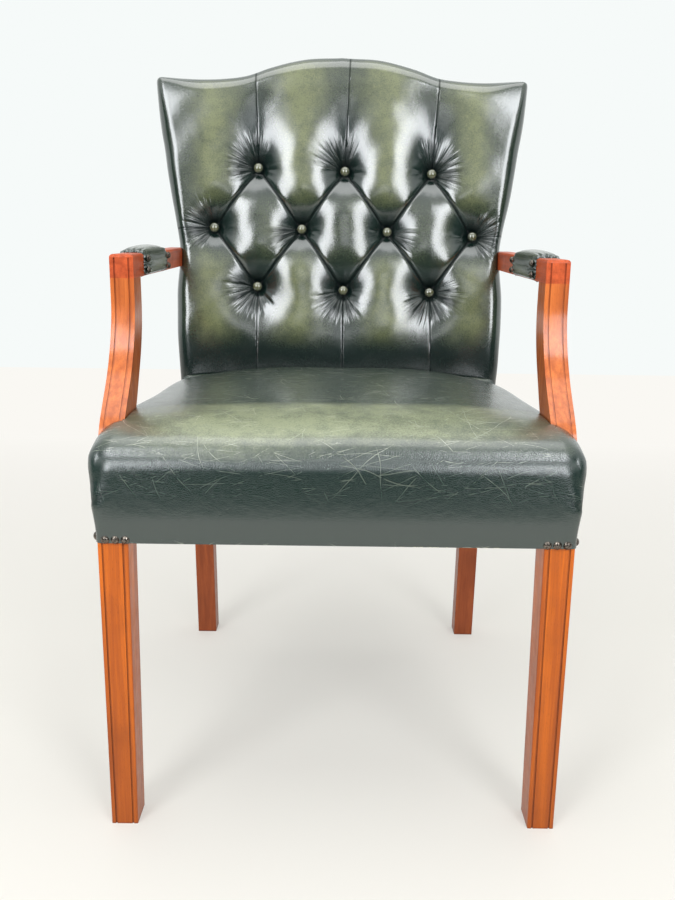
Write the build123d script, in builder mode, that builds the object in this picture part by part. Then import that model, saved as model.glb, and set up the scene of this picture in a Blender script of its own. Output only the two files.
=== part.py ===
from build123d import *
import os
from math import atan2, cos, degrees, radians, sin

# An open-arm chair with a buttoned leather back, in millimetres. +Z is up and the front
# faces -Y. The origin lies on the floor, under the middle of the chair's box.
# In the names below, left and right are as seen by someone who faces the chair.

os.makedirs("parts", exist_ok=True)

# Stance of the frame
front_width = 524.0
rear_width = 480.0
seat_frame_depth = 500.0
seat_frame_bottom = 352.0
rail_height = 68.0
rail_thickness = 24.0

# Front legs: square in section, with tapered inner sides
leg_width = 34.0
leg_depth = 42.0
foot_width = 31.0
foot_depth = 38.0
leg_edge_radius = 1.5
groove_width = 2.0
groove_depth = 1.2
groove_inset = 4.6

# Rear posts: a plain leg below the seat and a raked, flared post above it
post_foot_width = 31.0
post_width = 34.0
post_depth = 34.0
post_foot_rake = 29.0
post_edge_radius = 1.0
rake_start = 404.0
back_rake = 9.0

# Back, with heights measured along the rake from where the posts start to lean
back_half_width = 290.0
shoulder_height = 518.0
crown_rise = 34.0
back_bottom = 20.0
back_corner_radius = 8.0
crest_depth = 78.0
lower_rail_bottom = 75.0
lower_rail_height = 50.0
cover_build = 5.0
panel_inset = 1.0
leather = 2.0
soft_fit = 0.3

# The back's outline: heights as shares of the shoulder height, and half-widths there as
# shares of the half-width at the shoulder
side_shares = (
    (0.21, 0.886),
    (0.35, 0.889),
    (0.485, 0.879),
    (0.55, 0.897),
    (0.63, 0.918),
    (0.77, 0.952),
    (0.90, 0.985),
    (1.0, 1.0),
)
bottom_width_share = 0.869
# The crown: distances from the middle as shares of the half-width, and heights above the
# shoulder as shares of the crown's rise
crown_shares = ((0.64, 0.0), (0.517, 0.16), (0.39, 0.515), (0.207, 0.88), (0.0, 1.0))
crest_joint_share = 0.897

# Tufting: three rows of buttons, set by hand a little to the right and falling that way
button_pitch = 136.0
button_row_pitch = 92.0
middle_row_height = 284.0
row_counts = (3, 4, 3)
neighbour_share = 0.75
button_shift = 4.0
button_fall = 2.4
button_radius = 6.8
button_height = 5.0
tie_radius = 1.0
tie_tail = 4.0
tuft_height = 26.0
tuft_edge_radius = 13.0
well_depth = 13.0
well_radius = 21.0
well_floor_radius = 7.2
pleat_width = 18.0
pleat_depth = 6.5
pleat_floor_width = 2.0

# Seat: an upright band over the rails, a roll that swells out, and a crowned top
band_height = 33.0
roll_rise = 43.0
roll_out = 7.0
top_draw_in = 9.0
top_draw_rise = 32.0
seat_crest_height = 486.0
seat_crest_place = 360.0
seat_front_drop = 26.0
seat_side_drop = 12.0
seat_edge_radius = 18.0
back_gap = 1.0

# Arms and their supports
arm_underside = 630.0
arm_height = 27.5
arm_width = 28.0
arm_front = 135.0
arm_front_spread = 509.0
arm_rear_spread = 528.0
arm_end_overlap = 29.0
arm_edge_radius = 4.0
support_foot_height = 370.0
support_foot_front = 44.0
support_foot_depth = 44.0
support_sweep = 91.0
support_rear_sweep = 84.0
support_lap = 12.0
support_fit = 0.3
# The support's two edges: shares of their sweep to the rear and of the support's height
front_edge_shares = (
    (0.0, 0.0),
    (0.0, 0.19),
    (0.03, 0.315),
    (0.23, 0.43),
    (0.47, 0.52),
    (0.76, 0.65),
    (0.965, 0.81),
    (1.0, 1.0),
)
rear_edge_shares = (
    (0.0, 0.0),
    (0.03, 0.19),
    (0.14, 0.31),
    (0.39, 0.42),
    (0.625, 0.54),
    (0.84, 0.66),
    (0.995, 0.82),
    (1.0, 1.0),
)

# Arm pads
pad_front = 198.0
pad_length = 167.0
pad_swell = 6.0
pad_dome = 10.0
pad_skin = 1.5
pad_end_build = 2.4
pad_shoulder_drop = 1.5
# Stations along the pad as shares of its length, each with its share of the full swell
pad_shares = ((0.0, 0.0), (0.16, 0.62), (0.5, 1.0), (0.84, 0.62), (1.0, 0.0))

# Dowels, screws and corner blocks
dowel_radius = 4.0
dowel_length = 34.0
dowel_fit = 0.1
dowel_spacing = 32.0
side_dowel_setback = 16.0
screw_radius = 2.2
screw_head_radius = 4.5
screw_head_height = 3.0
screw_length = 42.0
screw_spacing = 15.0
support_screw_length = 24.0
arm_screw_set = 24.0
block_reach = 58.0
block_height = 34.0
block_drop = 4.0

# Nails
nail_radius = 5.35
nail_height = 4.0
nail_pitch = 10.95
nail_inset = 9.65
nail_rise = 4.5
nail_count = 3
nail_shank_radius = 0.8
nail_shank_length = 9.0
pad_nail_radius = 4.6
pad_nail_height = 3.4
pad_nail_spacing = 14.0
pad_nail_inset = 7.0
pad_nail_stand = 1.8

# Webbing and cloths
strap_width = 50.0
strap_thickness = 1.5
seat_strap_pitch = 75.0
seat_strap_count = 5
cross_strap_start = 140.0
strap_landing = 20.0
cloth_thickness = 1.0
cloth_inset = 6.0
cloth_clearance = 1.0
overrun = 60.0

# Places that follow from the sizes above
lean = radians(back_rake)
crown_height = shoulder_height + crown_rise
crest_bottom = shoulder_height - crest_depth
frame_rear_reach = post_depth + leather
rear_reach = (
    seat_frame_depth + (crown_height - panel_inset) * sin(lean) + frame_rear_reach * cos(lean)
)
front_reach = leather + roll_out
leg_front = (front_reach - rear_reach) / 2
leg_rear = leg_front + leg_depth
post_front = leg_front + seat_frame_depth
post_rear = post_front + post_depth
rail_top = seat_frame_bottom + rail_height
rail_middle = seat_frame_bottom + rail_height / 2
front_half = front_width / 2
rear_half = rear_width / 2
arm_top = arm_underside + arm_height
arm_rake_height = (arm_underside + arm_height / 2 - rake_start) / cos(lean)
arm_rear = seat_frame_depth + arm_rake_height * sin(lean) + arm_end_overlap
back_webbing_depth = 2 * strap_thickness
back_stuffing_rear = back_webbing_depth + cloth_thickness
seat_stuffing_bottom = rail_top + 2 * strap_thickness + cloth_thickness
sides = (("left", -1), ("right", 1))
back_plane = Plane(
    origin=(0, post_front, rake_start), x_dir=(1, 0, 0), z_dir=(0, -cos(lean), sin(lean))
)
front_plane = Plane(origin=(0, leg_front, 0), x_dir=(1, 0, 0), z_dir=(0, -1, 0))


def finish(part, name):
    """Labels a finished piece and writes it."""
    part.label = name
    export_step(part, f"parts/{name}.step")


def rail_outer_x(y):
    """Half-width over the side rails at a distance behind the front legs' faces."""
    share = (y - leg_depth) / (seat_frame_depth - leg_depth)
    return front_half + (rear_half - front_half) * share


def rail_inner_x(y):
    """The same over the side rails' inner faces."""
    return rail_outer_x(y) - rail_thickness


def arm_centre_x(y):
    """Half of the arms' spread at a distance behind the front legs' faces."""
    share = (y - arm_front) / (arm_rear - arm_front)
    return (arm_front_spread + (arm_rear_spread - arm_front_spread) * share) / 2


def dome_headed(radius, height, shank_length):
    """A domed head that rests on the XY plane, with its shank below."""
    dome_radius = (radius**2 + height**2) / (2 * height)
    with BuildPart() as body:
        with BuildSketch(Plane.XZ):
            with BuildLine():
                Line((0, 0), (radius, 0))
                RadiusArc((radius, 0), (0, height), -dome_radius)
                Line((0, height), (0, 0))
            make_face()
        revolve(axis=Axis.Z)
        if shank_length > 0:
            with BuildSketch(Plane.XY):
                Circle(nail_shank_radius)
            extrude(amount=-shank_length)
    return body.part


def screw(length):
    """A flat-headed wood screw: its head's top is on the XY plane and it runs down."""
    with BuildPart() as body:
        with BuildSketch(Plane.XY):
            Circle(screw_head_radius)
        extrude(amount=-screw_head_height)
        with BuildSketch(Plane.XY.offset(-screw_head_height)):
            Circle(screw_radius)
        extrude(amount=screw_head_height - length)
    return body.part


def screw_hole(length):
    """The counterbored hole of such a screw, open above its head."""
    with BuildPart() as body:
        with BuildSketch(Plane.XY.offset(overrun)):
            Circle(screw_head_radius + dowel_fit)
        extrude(amount=-overrun - screw_head_height)
        with BuildSketch(Plane.XY.offset(-screw_head_height)):
            Circle(screw_radius + dowel_fit)
        extrude(amount=screw_head_height - length - dowel_fit)
    return body.part


def corner_rectangle(side, outer_x, front_y, width, depth):
    """A rectangle in the open sketch whose outer front corner is at the given place."""
    with Locations((side * (outer_x - width / 2), front_y + depth / 2)):
        Rectangle(width, depth)


def back_side_points(inset, bottom):
    """Points up one side of the back's outline, drawn in by an inset."""
    points = [(back_half_width * bottom_width_share - inset, bottom)]
    for height_share, width_share in side_shares[:-1]:
        points.append((back_half_width * width_share - inset, shoulder_height * height_share))
    points.append((back_half_width - inset, shoulder_height - inset))
    return points


def back_outline(inset, bottom):
    """The back's whole outline, drawn in by an inset, down to a height on the rake."""
    points = back_side_points(inset, bottom)
    top = shoulder_height - inset
    crown = [(back_half_width * x, top + crown_rise * rise) for x, rise in crown_shares]
    with BuildSketch() as face:
        with BuildLine():
            Line((0, bottom), points[0])
            Spline(*points, tangents=((0, 1), (0, 1)))
            Line(points[-1], crown[0])
            Spline(*crown, tangents=((-1, 0), (-1, 0)))
            Line(crown[-1], (0, bottom))
        make_face()
        corner = face.vertices().sort_by_distance(points[-1])[0]
        fillet(corner, radius=back_corner_radius)
        mirror(about=Plane.YZ)
    return face.sketch


def button_rows():
    """The buttons' places on the back's plane, row by row from the top."""
    rows = []
    for row, count in enumerate(row_counts):
        height = middle_row_height + button_row_pitch * (1 - row)
        places = []
        for column in range(count):
            x = (column - (count - 1) / 2) * button_pitch
            places.append((x + button_shift, height - button_fall * x / button_pitch))
        rows.append(places)
    return rows


def pleat_lines():
    """The pleats' two ends: from button to button, and from the outer buttons to the edges."""
    top, middle, bottom = button_rows()
    lines = []
    for row, end_height in ((top, crown_height), (bottom, back_bottom)):
        for x, height in row:
            lines.append(((x, height), (x, end_height)))
            for other_x, other_height in middle:
                if abs(other_x - x) < button_pitch * neighbour_share:
                    lines.append(((x, height), (other_x, other_height)))
    lines.append((middle[0], (-back_half_width, middle[0][1])))
    lines.append((middle[-1], (back_half_width, middle[-1][1])))
    return lines


def tufted_body(inset, rear, bottom):
    """The back's stuffed form, drawn in by an inset, from a rear plane to its tufts."""
    outline = back_outline(inset, bottom)
    front = back_plane.offset(tuft_height - inset)
    well_angle = degrees(atan2(well_radius - well_floor_radius, well_depth))
    pleat_angle = degrees(atan2((pleat_width - pleat_floor_width) / 2, pleat_depth))
    buttons = [place for row in button_rows() for place in row]
    with BuildPart() as body:
        with BuildSketch(back_plane.offset(rear)):
            add(outline)
        extrude(amount=tuft_height - inset - rear)
        towards_front = Axis(back_plane.origin, back_plane.z_dir)
        front_face = body.faces().sort_by(towards_front)[-1]
        rounded = front_face.edges().filter_by(
            lambda e: back_plane.to_local_coords(e.center()).Y > bottom + leather
        )
        fillet(rounded, radius=tuft_edge_radius - inset)
        for start, end in pleat_lines():
            run = Vector(*end) - Vector(*start)
            middle = (Vector(*end) + Vector(*start)) / 2
            with BuildSketch(front):
                with Locations((middle.X, middle.Y)):
                    turn = degrees(atan2(run.Y, run.X))
                    Rectangle(run.length + pleat_width, pleat_width, rotation=turn)
            extrude(amount=-pleat_depth, taper=pleat_angle, mode=Mode.SUBTRACT)
        with BuildSketch(front):
            with Locations(*buttons):
                Circle(well_radius)
        extrude(amount=-well_depth, taper=well_angle, mode=Mode.SUBTRACT)
    return body.part


def seat_plan(inset):
    """The seat's plan at the rails, drawn in by an inset from the leather's outer face."""
    front_x = front_half + leather - inset
    rear_x = rear_half + leather - inset
    right = [
        (front_x, leg_front - leather + inset),
        (front_x, leg_rear),
        (rear_x, post_front),
        (rear_x, post_rear + leather - inset),
    ]
    left = [(-x, y) for x, y in reversed(right)]
    with BuildSketch() as plan:
        Polygon(*right, *left, align=None)
    return plan.sketch


def stuffed_seat(inset, skirt):
    """The seat's form, drawn in by an inset, with a skirt below the rails."""
    plan = seat_plan(inset)
    roll_angle = degrees(atan2(roll_out, roll_rise))
    draw_angle = degrees(atan2(top_draw_in, top_draw_rise))
    crest = seat_crest_height - inset
    crest_y = leg_front + seat_crest_place
    length_radius = (seat_crest_place**2 + seat_front_drop**2) / (2 * seat_front_drop)
    wide = front_half + overrun
    wide_drop = seat_side_drop * (wide / front_half) ** 2
    axle = crest - length_radius
    roll_top = seat_frame_bottom + band_height + roll_rise
    with BuildPart() as body:
        with BuildSketch(Plane.XY.offset(seat_frame_bottom - skirt)):
            add(plan)
        extrude(amount=skirt + band_height)
        extrude(body.faces().sort_by(Axis.Z)[-1], amount=roll_rise, taper=-roll_angle)
        top_face = body.faces().sort_by(Axis.Z)[-1]
        extrude(top_face, amount=crest + roll_out - roll_top, taper=draw_angle)
        with BuildSketch(Plane.XZ.offset(-crest_y)):
            with BuildLine():
                ThreePointArc((-wide, crest - wide_drop), (0, crest), (wide, crest - wide_drop))
                Polyline(
                    (wide, crest - wide_drop), (wide, axle), (-wide, axle), (-wide, crest - wide_drop)
                )
            make_face()
        spindle = Axis((0, crest_y, axle), (1, 0, 0))
        revolve(axis=spindle, mode=Mode.INTERSECT)
        crown_face = body.faces().sort_by(Axis.Z)[-1]
        fillet(crown_face.edges(), radius=seat_edge_radius - inset)
    return body.part


def support_profile(grow):
    """A support's side profile in the YZ plane, grown at its two edges and its foot."""
    height = arm_underside - support_foot_height
    foot_y = leg_front + support_foot_front
    front = []
    rear = []
    for run, rise in front_edge_shares:
        front.append((foot_y + support_sweep * run - grow, support_foot_height + height * rise))
    for run, rise in rear_edge_shares:
        y = foot_y + support_foot_depth + support_rear_sweep * run + grow
        rear.append((y, support_foot_height + height * rise))
    with BuildSketch() as profile:
        with BuildLine():
            Spline(*front, tangents=((0, 1), (0, 1)))
            Line(front[-1], rear[-1])
            Spline(*reversed(rear), tangents=((0, -1), (0, -1)))
            if grow > 0:
                Polyline(rear[0], (rear[0][0], rear[0][1] - grow), (front[0][0], front[0][1] - grow))
                Line((front[0][0], front[0][1] - grow), front[0])
            else:
                Line(rear[0], front[0])
        make_face()
    return profile.sketch


def support_groove_profile():
    """The sliver between a support's front edge and the floor of its grooves."""
    height = arm_underside - support_foot_height
    foot_y = leg_front + support_foot_front
    outer = []
    inner = []
    for run, rise in front_edge_shares:
        y = foot_y + support_sweep * run
        z = support_foot_height + height * rise
        outer.append((y - groove_depth, z))
        inner.append((y + groove_depth, z))
    with BuildSketch() as profile:
        with BuildLine():
            Spline(*outer, tangents=((0, 1), (0, 1)))
            Line(outer[-1], inner[-1])
            Spline(*reversed(inner), tangents=((0, -1), (0, -1)))
            Line(inner[0], outer[0])
        make_face()
    return profile.sketch


def arm_bar(side, grow):
    """An arm's plain bar, grown all round, which spreads a little to the rear."""
    reach = arm_width / 2 + grow
    ends = (arm_front - grow, arm_rear + grow)
    corners = []
    for y, sign in ((ends[0], -1), (ends[0], 1), (ends[1], 1), (ends[1], -1)):
        corners.append((side * (arm_centre_x(y) + sign * reach), leg_front + y))
    with BuildPart() as bar:
        with BuildSketch(Plane.XY.offset(arm_underside - grow)):
            Polygon(*corners, align=None)
        extrude(amount=arm_height + 2 * grow)
    return bar.part


def pad_body(side, inset, skirt):
    """An arm pad's form, drawn in by an inset, with a skirt below the arm."""
    with BuildPart() as body:
        for along, swell in pad_shares:
            end_draw = inset * (1 - 2 * along)
            y = pad_front + pad_length * along + end_draw
            foot = arm_width / 2 + pad_skin - inset
            belly = arm_width / 2 + pad_end_build + pad_swell * swell - inset
            brow = foot + pad_swell * swell / 2
            shoulder = arm_top - pad_shoulder_drop + pad_dome * swell / 2
            top = arm_top + pad_end_build + pad_dome * swell - inset
            middle = (arm_underside + shoulder) / 2
            centre = side * arm_centre_x(y)
            place = Plane(origin=(centre, leg_front + y, 0), x_dir=(1, 0, 0), z_dir=(0, -1, 0))
            with BuildSketch(place):
                with BuildLine():
                    if skirt > 0:
                        Line((foot, arm_underside - skirt), (foot, arm_underside))
                        Line((-foot, arm_underside), (-foot, arm_underside - skirt))
                    Line((-foot, arm_underside - skirt), (foot, arm_underside - skirt))
                    ThreePointArc((foot, arm_underside), (belly, middle), (brow, shoulder))
                    ThreePointArc((brow, shoulder), (0, top), (-brow, shoulder))
                    ThreePointArc((-brow, shoulder), (-belly, middle), (-foot, arm_underside))
                make_face()
        loft()
    return body.part


def corner_block_points(side, end):
    """A corner block's plan: a face on each rail, notched round the leg's corner."""
    if end == "front":
        rail_face = leg_front + rail_thickness
        leg_face = leg_rear
        leg_inner = front_half - leg_width
        reach_y = leg_face + block_reach
    else:
        rail_face = post_rear - rail_thickness
        leg_face = post_front
        leg_inner = rear_half - post_foot_width
        reach_y = leg_face - block_reach
    points = [
        (leg_inner - block_reach, rail_face),
        (leg_inner, rail_face),
        (leg_inner, leg_face),
        (rail_inner_x(leg_face - leg_front), leg_face),
        (rail_inner_x(reach_y - leg_front), reach_y),
    ]
    return [(side * x, y) for x, y in points]


def block_screw_plane(side, end, height):
    """The plane of a screw that runs from a block's long face into its leg."""
    points = corner_block_points(side, end)
    start = (Vector(*points[0]) + Vector(*points[-1])) / 2
    towards = (Vector(*points[2]) - start).normalized()
    head = start + towards * screw_head_height
    return Plane(origin=(head.X, head.Y, height), z_dir=(-towards.X, -towards.Y, 0))


# The places of dowels and screws, which every piece that they pass through uses
dowel_planes = []
support_screw_planes = []
arm_screw_planes = []
block_screw_planes = []
crest_dowel_planes = []
arm_dowel_planes = []
for side_name, side in sides:
    for step in (-1, 1):
        height = rail_middle + step * dowel_spacing / 2
        front_x = side * (front_half - leg_width)
        rear_x = side * (rear_half - post_foot_width)
        front_y = leg_front + rail_thickness / 2
        rear_y = post_rear - rail_thickness / 2
        dowel_planes.append(Plane(origin=(front_x, front_y, height), z_dir=(side, 0, 0)))
        dowel_planes.append(Plane(origin=(rear_x, rear_y, height), z_dir=(side, 0, 0)))
        front_x = side * (front_half - side_dowel_setback)
        rear_x = side * (rear_half - side_dowel_setback)
        dowel_planes.append(Plane(origin=(front_x, leg_rear, height), z_dir=(0, 1, 0)))
        dowel_planes.append(Plane(origin=(rear_x, post_front, height), z_dir=(0, 1, 0)))

        foot_y = support_foot_front + support_foot_depth / 2
        foot_x = side * (rail_inner_x(foot_y) + screw_head_height)
        height = (support_foot_height + rail_top) / 2 + step * screw_spacing / 2
        support_screw_planes.append(
            Plane(origin=(foot_x, leg_front + foot_y, height), z_dir=(-side, 0, 0))
        )
        end_x = side * (arm_centre_x(arm_rear) - arm_width / 2 - arm_screw_set)
        end_y = leg_front + arm_rear - arm_end_overlap / 2 + step * screw_spacing / 2
        arm_screw_planes.append(
            Plane(origin=(end_x, end_y, arm_underside + arm_height / 2), z_dir=(-side, 0, 0))
        )
        height = rail_top - block_drop - block_height / 2 + step * screw_spacing / 2
        for end in ("front", "rear"):
            block_screw_planes.append(block_screw_plane(side, end, height))

    crest_x = side * back_half_width * crest_joint_share
    crest_joint = back_plane.from_local_coords((crest_x, crest_bottom, -post_depth / 2))
    crest_dowel_planes.append(Plane(origin=crest_joint, z_dir=back_plane.y_dir))
    support_top = support_foot_depth + support_rear_sweep - support_sweep
    arm_joint_y = leg_front + arm_front + support_top / 2
    arm_dowel_planes.append(
        Plane(origin=(side * arm_front_spread / 2, arm_joint_y, arm_underside))
    )

# The places of the domed nails
seat_nail_planes = []
pad_nail_planes = []
for side_name, side in sides:
    for step in range(nail_count):
        along = nail_inset + nail_pitch * step
        height = seat_frame_bottom + nail_rise
        front_x = side * (front_half - along)
        seat_nail_planes.append(
            Plane(origin=(front_x, leg_front - leather, height), z_dir=(0, -1, 0))
        )
        side_x = side * (front_half + leather)
        seat_nail_planes.append(
            Plane(origin=(side_x, leg_front + along, height), z_dir=(side, 0, 0))
        )
    for y in (pad_front + pad_nail_inset, pad_front + pad_length - pad_nail_inset):
        for step in (-1, 1):
            height = arm_underside + arm_height / 2 + step * pad_nail_spacing / 2
            for face in (-1, 1):
                reach = arm_width / 2 + pad_end_build + pad_nail_stand
                x = side * arm_centre_x(y) + face * reach
                pad_nail_planes.append(
                    Plane(origin=(x, leg_front + y, height), z_dir=(face, 0, 0))
                )


def drill_dowels(planes):
    """Dowel holes in the open part."""
    with Locations(*planes):
        Cylinder(dowel_radius + dowel_fit, dowel_length + 2 * dowel_fit, mode=Mode.SUBTRACT)


def drill_shanks(planes):
    """Nail holes in the open part."""
    with Locations(*planes):
        Cylinder(
            nail_shank_radius + dowel_fit, 2 * (nail_shank_length + dowel_fit), mode=Mode.SUBTRACT
        )


# Front legs, which are also the corner posts of the seat frame
for side_name, side in sides:
    with BuildPart() as front_leg:
        with BuildSketch(Plane.XY):
            corner_rectangle(side, front_half, leg_front, foot_width, foot_depth)
        with BuildSketch(Plane.XY.offset(seat_frame_bottom)):
            corner_rectangle(side, front_half, leg_front, leg_width, leg_depth)
        loft()
        long_edges = front_leg.edges().filter_by(lambda e: e.length > seat_frame_bottom / 2)
        fillet(long_edges, radius=leg_edge_radius)
        with BuildSketch(Plane.XY.offset(seat_frame_bottom)):
            corner_rectangle(side, front_half, leg_front, leg_width, leg_depth)
        extrude(amount=rail_height)
        near = groove_inset
        far = groove_inset + groove_width
        with BuildSketch(front_plane):
            for outer, inner in ((near, far), (foot_width - near, foot_width - far)):
                taper = leg_width - foot_width if outer > inner else 0
                Polygon(
                    (side * (front_half - outer), 0),
                    (side * (front_half - inner), 0),
                    (side * (front_half - inner - taper), seat_frame_bottom),
                    (side * (front_half - outer - taper), seat_frame_bottom),
                    align=None,
                )
        extrude(amount=-groove_depth, mode=Mode.SUBTRACT)
        side_plane = Plane(
            origin=(side * front_half, 0, 0), x_dir=(0, side, 0), z_dir=(side, 0, 0)
        )
        with BuildSketch(side_plane):
            for outer, inner in ((near, far), (foot_depth - near, foot_depth - far)):
                taper = leg_depth - foot_depth if outer > inner else 0
                Polygon(
                    (side * (leg_front + outer), 0),
                    (side * (leg_front + inner), 0),
                    (side * (leg_front + inner + taper), seat_frame_bottom),
                    (side * (leg_front + outer + taper), seat_frame_bottom),
                    align=None,
                )
        extrude(amount=-groove_depth, mode=Mode.SUBTRACT)
        drill_dowels(dowel_planes)
        drill_shanks(seat_nail_planes)
        with Locations(*block_screw_planes):
            add(screw_hole(screw_length), mode=Mode.SUBTRACT)
    finish(front_leg.part, f"front_leg_{side_name}")

# Rear posts: a side profile crossed with a front profile
rear_posts = {}
for side_name, side in sides:
    top_front = back_plane.from_local_coords((0, crest_bottom, 0))
    top_rear = back_plane.from_local_coords((0, crest_bottom, -post_depth))
    flare = back_side_points(cover_build, back_bottom)[1:]
    outer = [(rear_half, rake_start)]
    for x, along in flare:
        outer.append((x, rake_start + along * cos(lean)))
    inner = [(x - post_width, z) for x, z in outer[1:]]
    inner = [(rear_half - post_foot_width, rake_start)] + inner
    outer = [(side * x, z) for x, z in outer]
    inner = [(side * x, z) for x, z in inner]
    with BuildPart() as rear_post:
        with BuildSketch(Plane.YZ):
            Polygon(
                (post_front + post_foot_rake, 0),
                (post_front, seat_frame_bottom),
                (post_front, rake_start),
                (top_front.Y, top_front.Z),
                (top_rear.Y, top_rear.Z),
                (post_rear, rake_start),
                (post_rear, seat_frame_bottom),
                (post_rear + post_foot_rake, 0),
                align=None,
            )
        extrude(amount=back_half_width + overrun, both=True)
        with BuildSketch(Plane.XZ):
            with BuildLine():
                Line((outer[0][0], 0), outer[0])
                Spline(*outer, tangents=((0, 1), (0, 1)))
                Line(outer[-1], inner[-1])
                Spline(*reversed(inner), tangents=((0, -1), (0, -1)))
                Line(inner[0], (inner[0][0], 0))
                Line((inner[0][0], 0), (outer[0][0], 0))
            make_face()
        extrude(amount=rear_reach, both=True, mode=Mode.INTERSECT)
        leg_edges = rear_post.edges().filter_by(
            lambda e: e.length > seat_frame_bottom / 2 and e.center().Z < seat_frame_bottom
        )
        fillet(leg_edges, radius=post_edge_radius)
        drill_dowels(dowel_planes)
        drill_dowels(crest_dowel_planes)
        with Locations(*arm_screw_planes, *block_screw_planes):
            add(screw_hole(screw_length), mode=Mode.SUBTRACT)
    rear_posts[side_name] = rear_post.part
    finish(rear_post.part, f"rear_post_{side_name}")

# Front and rear seat rails
for end, half_length, rail_y in (
    ("front", front_half - leg_width, leg_front + rail_thickness / 2),
    ("rear", rear_half - post_foot_width, post_rear - rail_thickness / 2),
):
    with BuildPart() as cross_rail:
        with BuildSketch(Plane.XY.offset(seat_frame_bottom)):
            with Locations((0, rail_y)):
                Rectangle(2 * half_length, rail_thickness)
        extrude(amount=rail_height)
        drill_dowels(dowel_planes)
    finish(cross_rail.part, f"{end}_seat_rail")

# Side seat rails, each housed for the foot of its arm support
housing_x = arm_front_spread / 2 - arm_width / 2 + support_lap - support_fit
housing_front = leg_front + support_foot_front - support_fit
housing_depth = support_foot_depth + support_rear_sweep * rear_edge_shares[1][0] + 2 * support_fit
for side_name, side in sides:
    with BuildPart() as side_rail:
        with BuildSketch(Plane.XY.offset(seat_frame_bottom)):
            Polygon(
                (side * rail_outer_x(leg_depth), leg_rear),
                (side * rail_outer_x(seat_frame_depth), post_front),
                (side * rail_inner_x(seat_frame_depth), post_front),
                (side * rail_inner_x(leg_depth), leg_rear),
                align=None,
            )
        extrude(amount=rail_height)
        with BuildSketch(Plane.XY.offset(support_foot_height - support_fit)):
            with Locations((side * (housing_x + overrun / 2), housing_front + housing_depth / 2)):
                Rectangle(overrun, housing_depth)
        extrude(amount=rail_height, mode=Mode.SUBTRACT)
        drill_dowels(dowel_planes)
        with Locations(*support_screw_planes):
            add(screw_hole(support_screw_length), mode=Mode.SUBTRACT)
    finish(side_rail.part, f"side_seat_rail_{side_name}")

with BuildPart() as seat_rail_dowels:
    with Locations(*dowel_planes):
        Cylinder(dowel_radius, dowel_length)
finish(seat_rail_dowels.part, "seat_rail_dowels")

# Corner blocks and their screws
for side_name, side in sides:
    for end in ("front", "rear"):
        with BuildPart() as corner_block:
            with BuildSketch(Plane.XY.offset(rail_top - block_drop)):
                Polygon(*corner_block_points(side, end), align=None)
            extrude(amount=-block_height)
            with Locations(*block_screw_planes):
                add(screw_hole(screw_length), mode=Mode.SUBTRACT)
        finish(corner_block.part, f"corner_block_{end}_{side_name}")

for name, planes, length in (
    ("corner_block_screws", block_screw_planes, screw_length),
    ("arm_support_screws", support_screw_planes, support_screw_length),
    ("arm_rail_screws", arm_screw_planes, screw_length),
):
    with BuildPart() as screws:
        with Locations(*planes):
            add(screw(length))
    finish(screws.part, name)

# Arm supports, lapped over the side rails' outer faces
groove_places = (groove_inset, arm_width - groove_inset - groove_width)
for side_name, side in sides:
    inner_x = side * arm_front_spread / 2 - arm_width / 2
    profile = support_profile(0)
    groove = support_groove_profile()
    with BuildPart() as arm_support:
        with BuildSketch(Plane.YZ.offset(inner_x)):
            add(profile)
        extrude(amount=arm_width)
        for place in groove_places:
            with BuildSketch(Plane.YZ.offset(inner_x + place)):
                add(groove)
            extrude(amount=groove_width, mode=Mode.SUBTRACT)
        with BuildSketch(Plane.XY.offset(support_foot_height)):
            with Locations((side * (housing_x + support_fit - overrun / 2), leg_rear)):
                Rectangle(overrun, 2 * seat_frame_depth)
        extrude(amount=rail_top + support_fit - support_foot_height, mode=Mode.SUBTRACT)
        drill_dowels(arm_dowel_planes)
        with Locations(*support_screw_planes):
            add(screw_hole(support_screw_length), mode=Mode.SUBTRACT)
    finish(arm_support.part, f"arm_support_{side_name}")

# Arms, with a squared front end over each support and the rear end screwed to its post
for side_name, side in sides:
    with BuildPart() as arm_rail:
        add(arm_bar(side, 0))
        top_face = arm_rail.faces().sort_by(Axis.Z)[-1]
        rounded = top_face.edges().filter_by(lambda e: e.center().Y < post_front)
        fillet(rounded, radius=arm_edge_radius)
        front = front_plane.offset(-arm_front)
        with BuildSketch(front):
            for place in groove_places:
                x = side * arm_front_spread / 2 - arm_width / 2 + place + groove_width / 2
                with Locations((x, arm_underside + (arm_height - arm_edge_radius) / 2)):
                    Rectangle(groove_width, arm_height - arm_edge_radius)
        extrude(amount=-groove_depth, mode=Mode.SUBTRACT)
        drill_dowels(arm_dowel_planes)
        drill_shanks(pad_nail_planes)
        with Locations(*arm_screw_planes):
            add(screw_hole(screw_length), mode=Mode.SUBTRACT)
        add(rear_posts[side_name], mode=Mode.SUBTRACT)
    finish(arm_rail.part, f"arm_rail_{side_name}")

with BuildPart() as arm_dowels:
    with Locations(*arm_dowel_planes):
        Cylinder(dowel_radius, dowel_length)
finish(arm_dowels.part, "arm_dowels")

# Arm pads and their leather
for side_name, side in sides:
    with BuildPart() as arm_pad:
        add(pad_body(side, pad_skin + soft_fit, 0))
        add(arm_bar(side, soft_fit / 2), mode=Mode.SUBTRACT)
        drill_shanks(pad_nail_planes)
    finish(arm_pad.part, f"arm_pad_{side_name}")
    with BuildPart() as arm_pad_cover:
        add(pad_body(side, 0, 0))
        add(pad_body(side, pad_skin, overrun), mode=Mode.SUBTRACT)
        add(arm_bar(side, 0), mode=Mode.SUBTRACT)
        drill_shanks(pad_nail_planes)
    finish(arm_pad_cover.part, f"arm_pad_cover_{side_name}")

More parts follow.
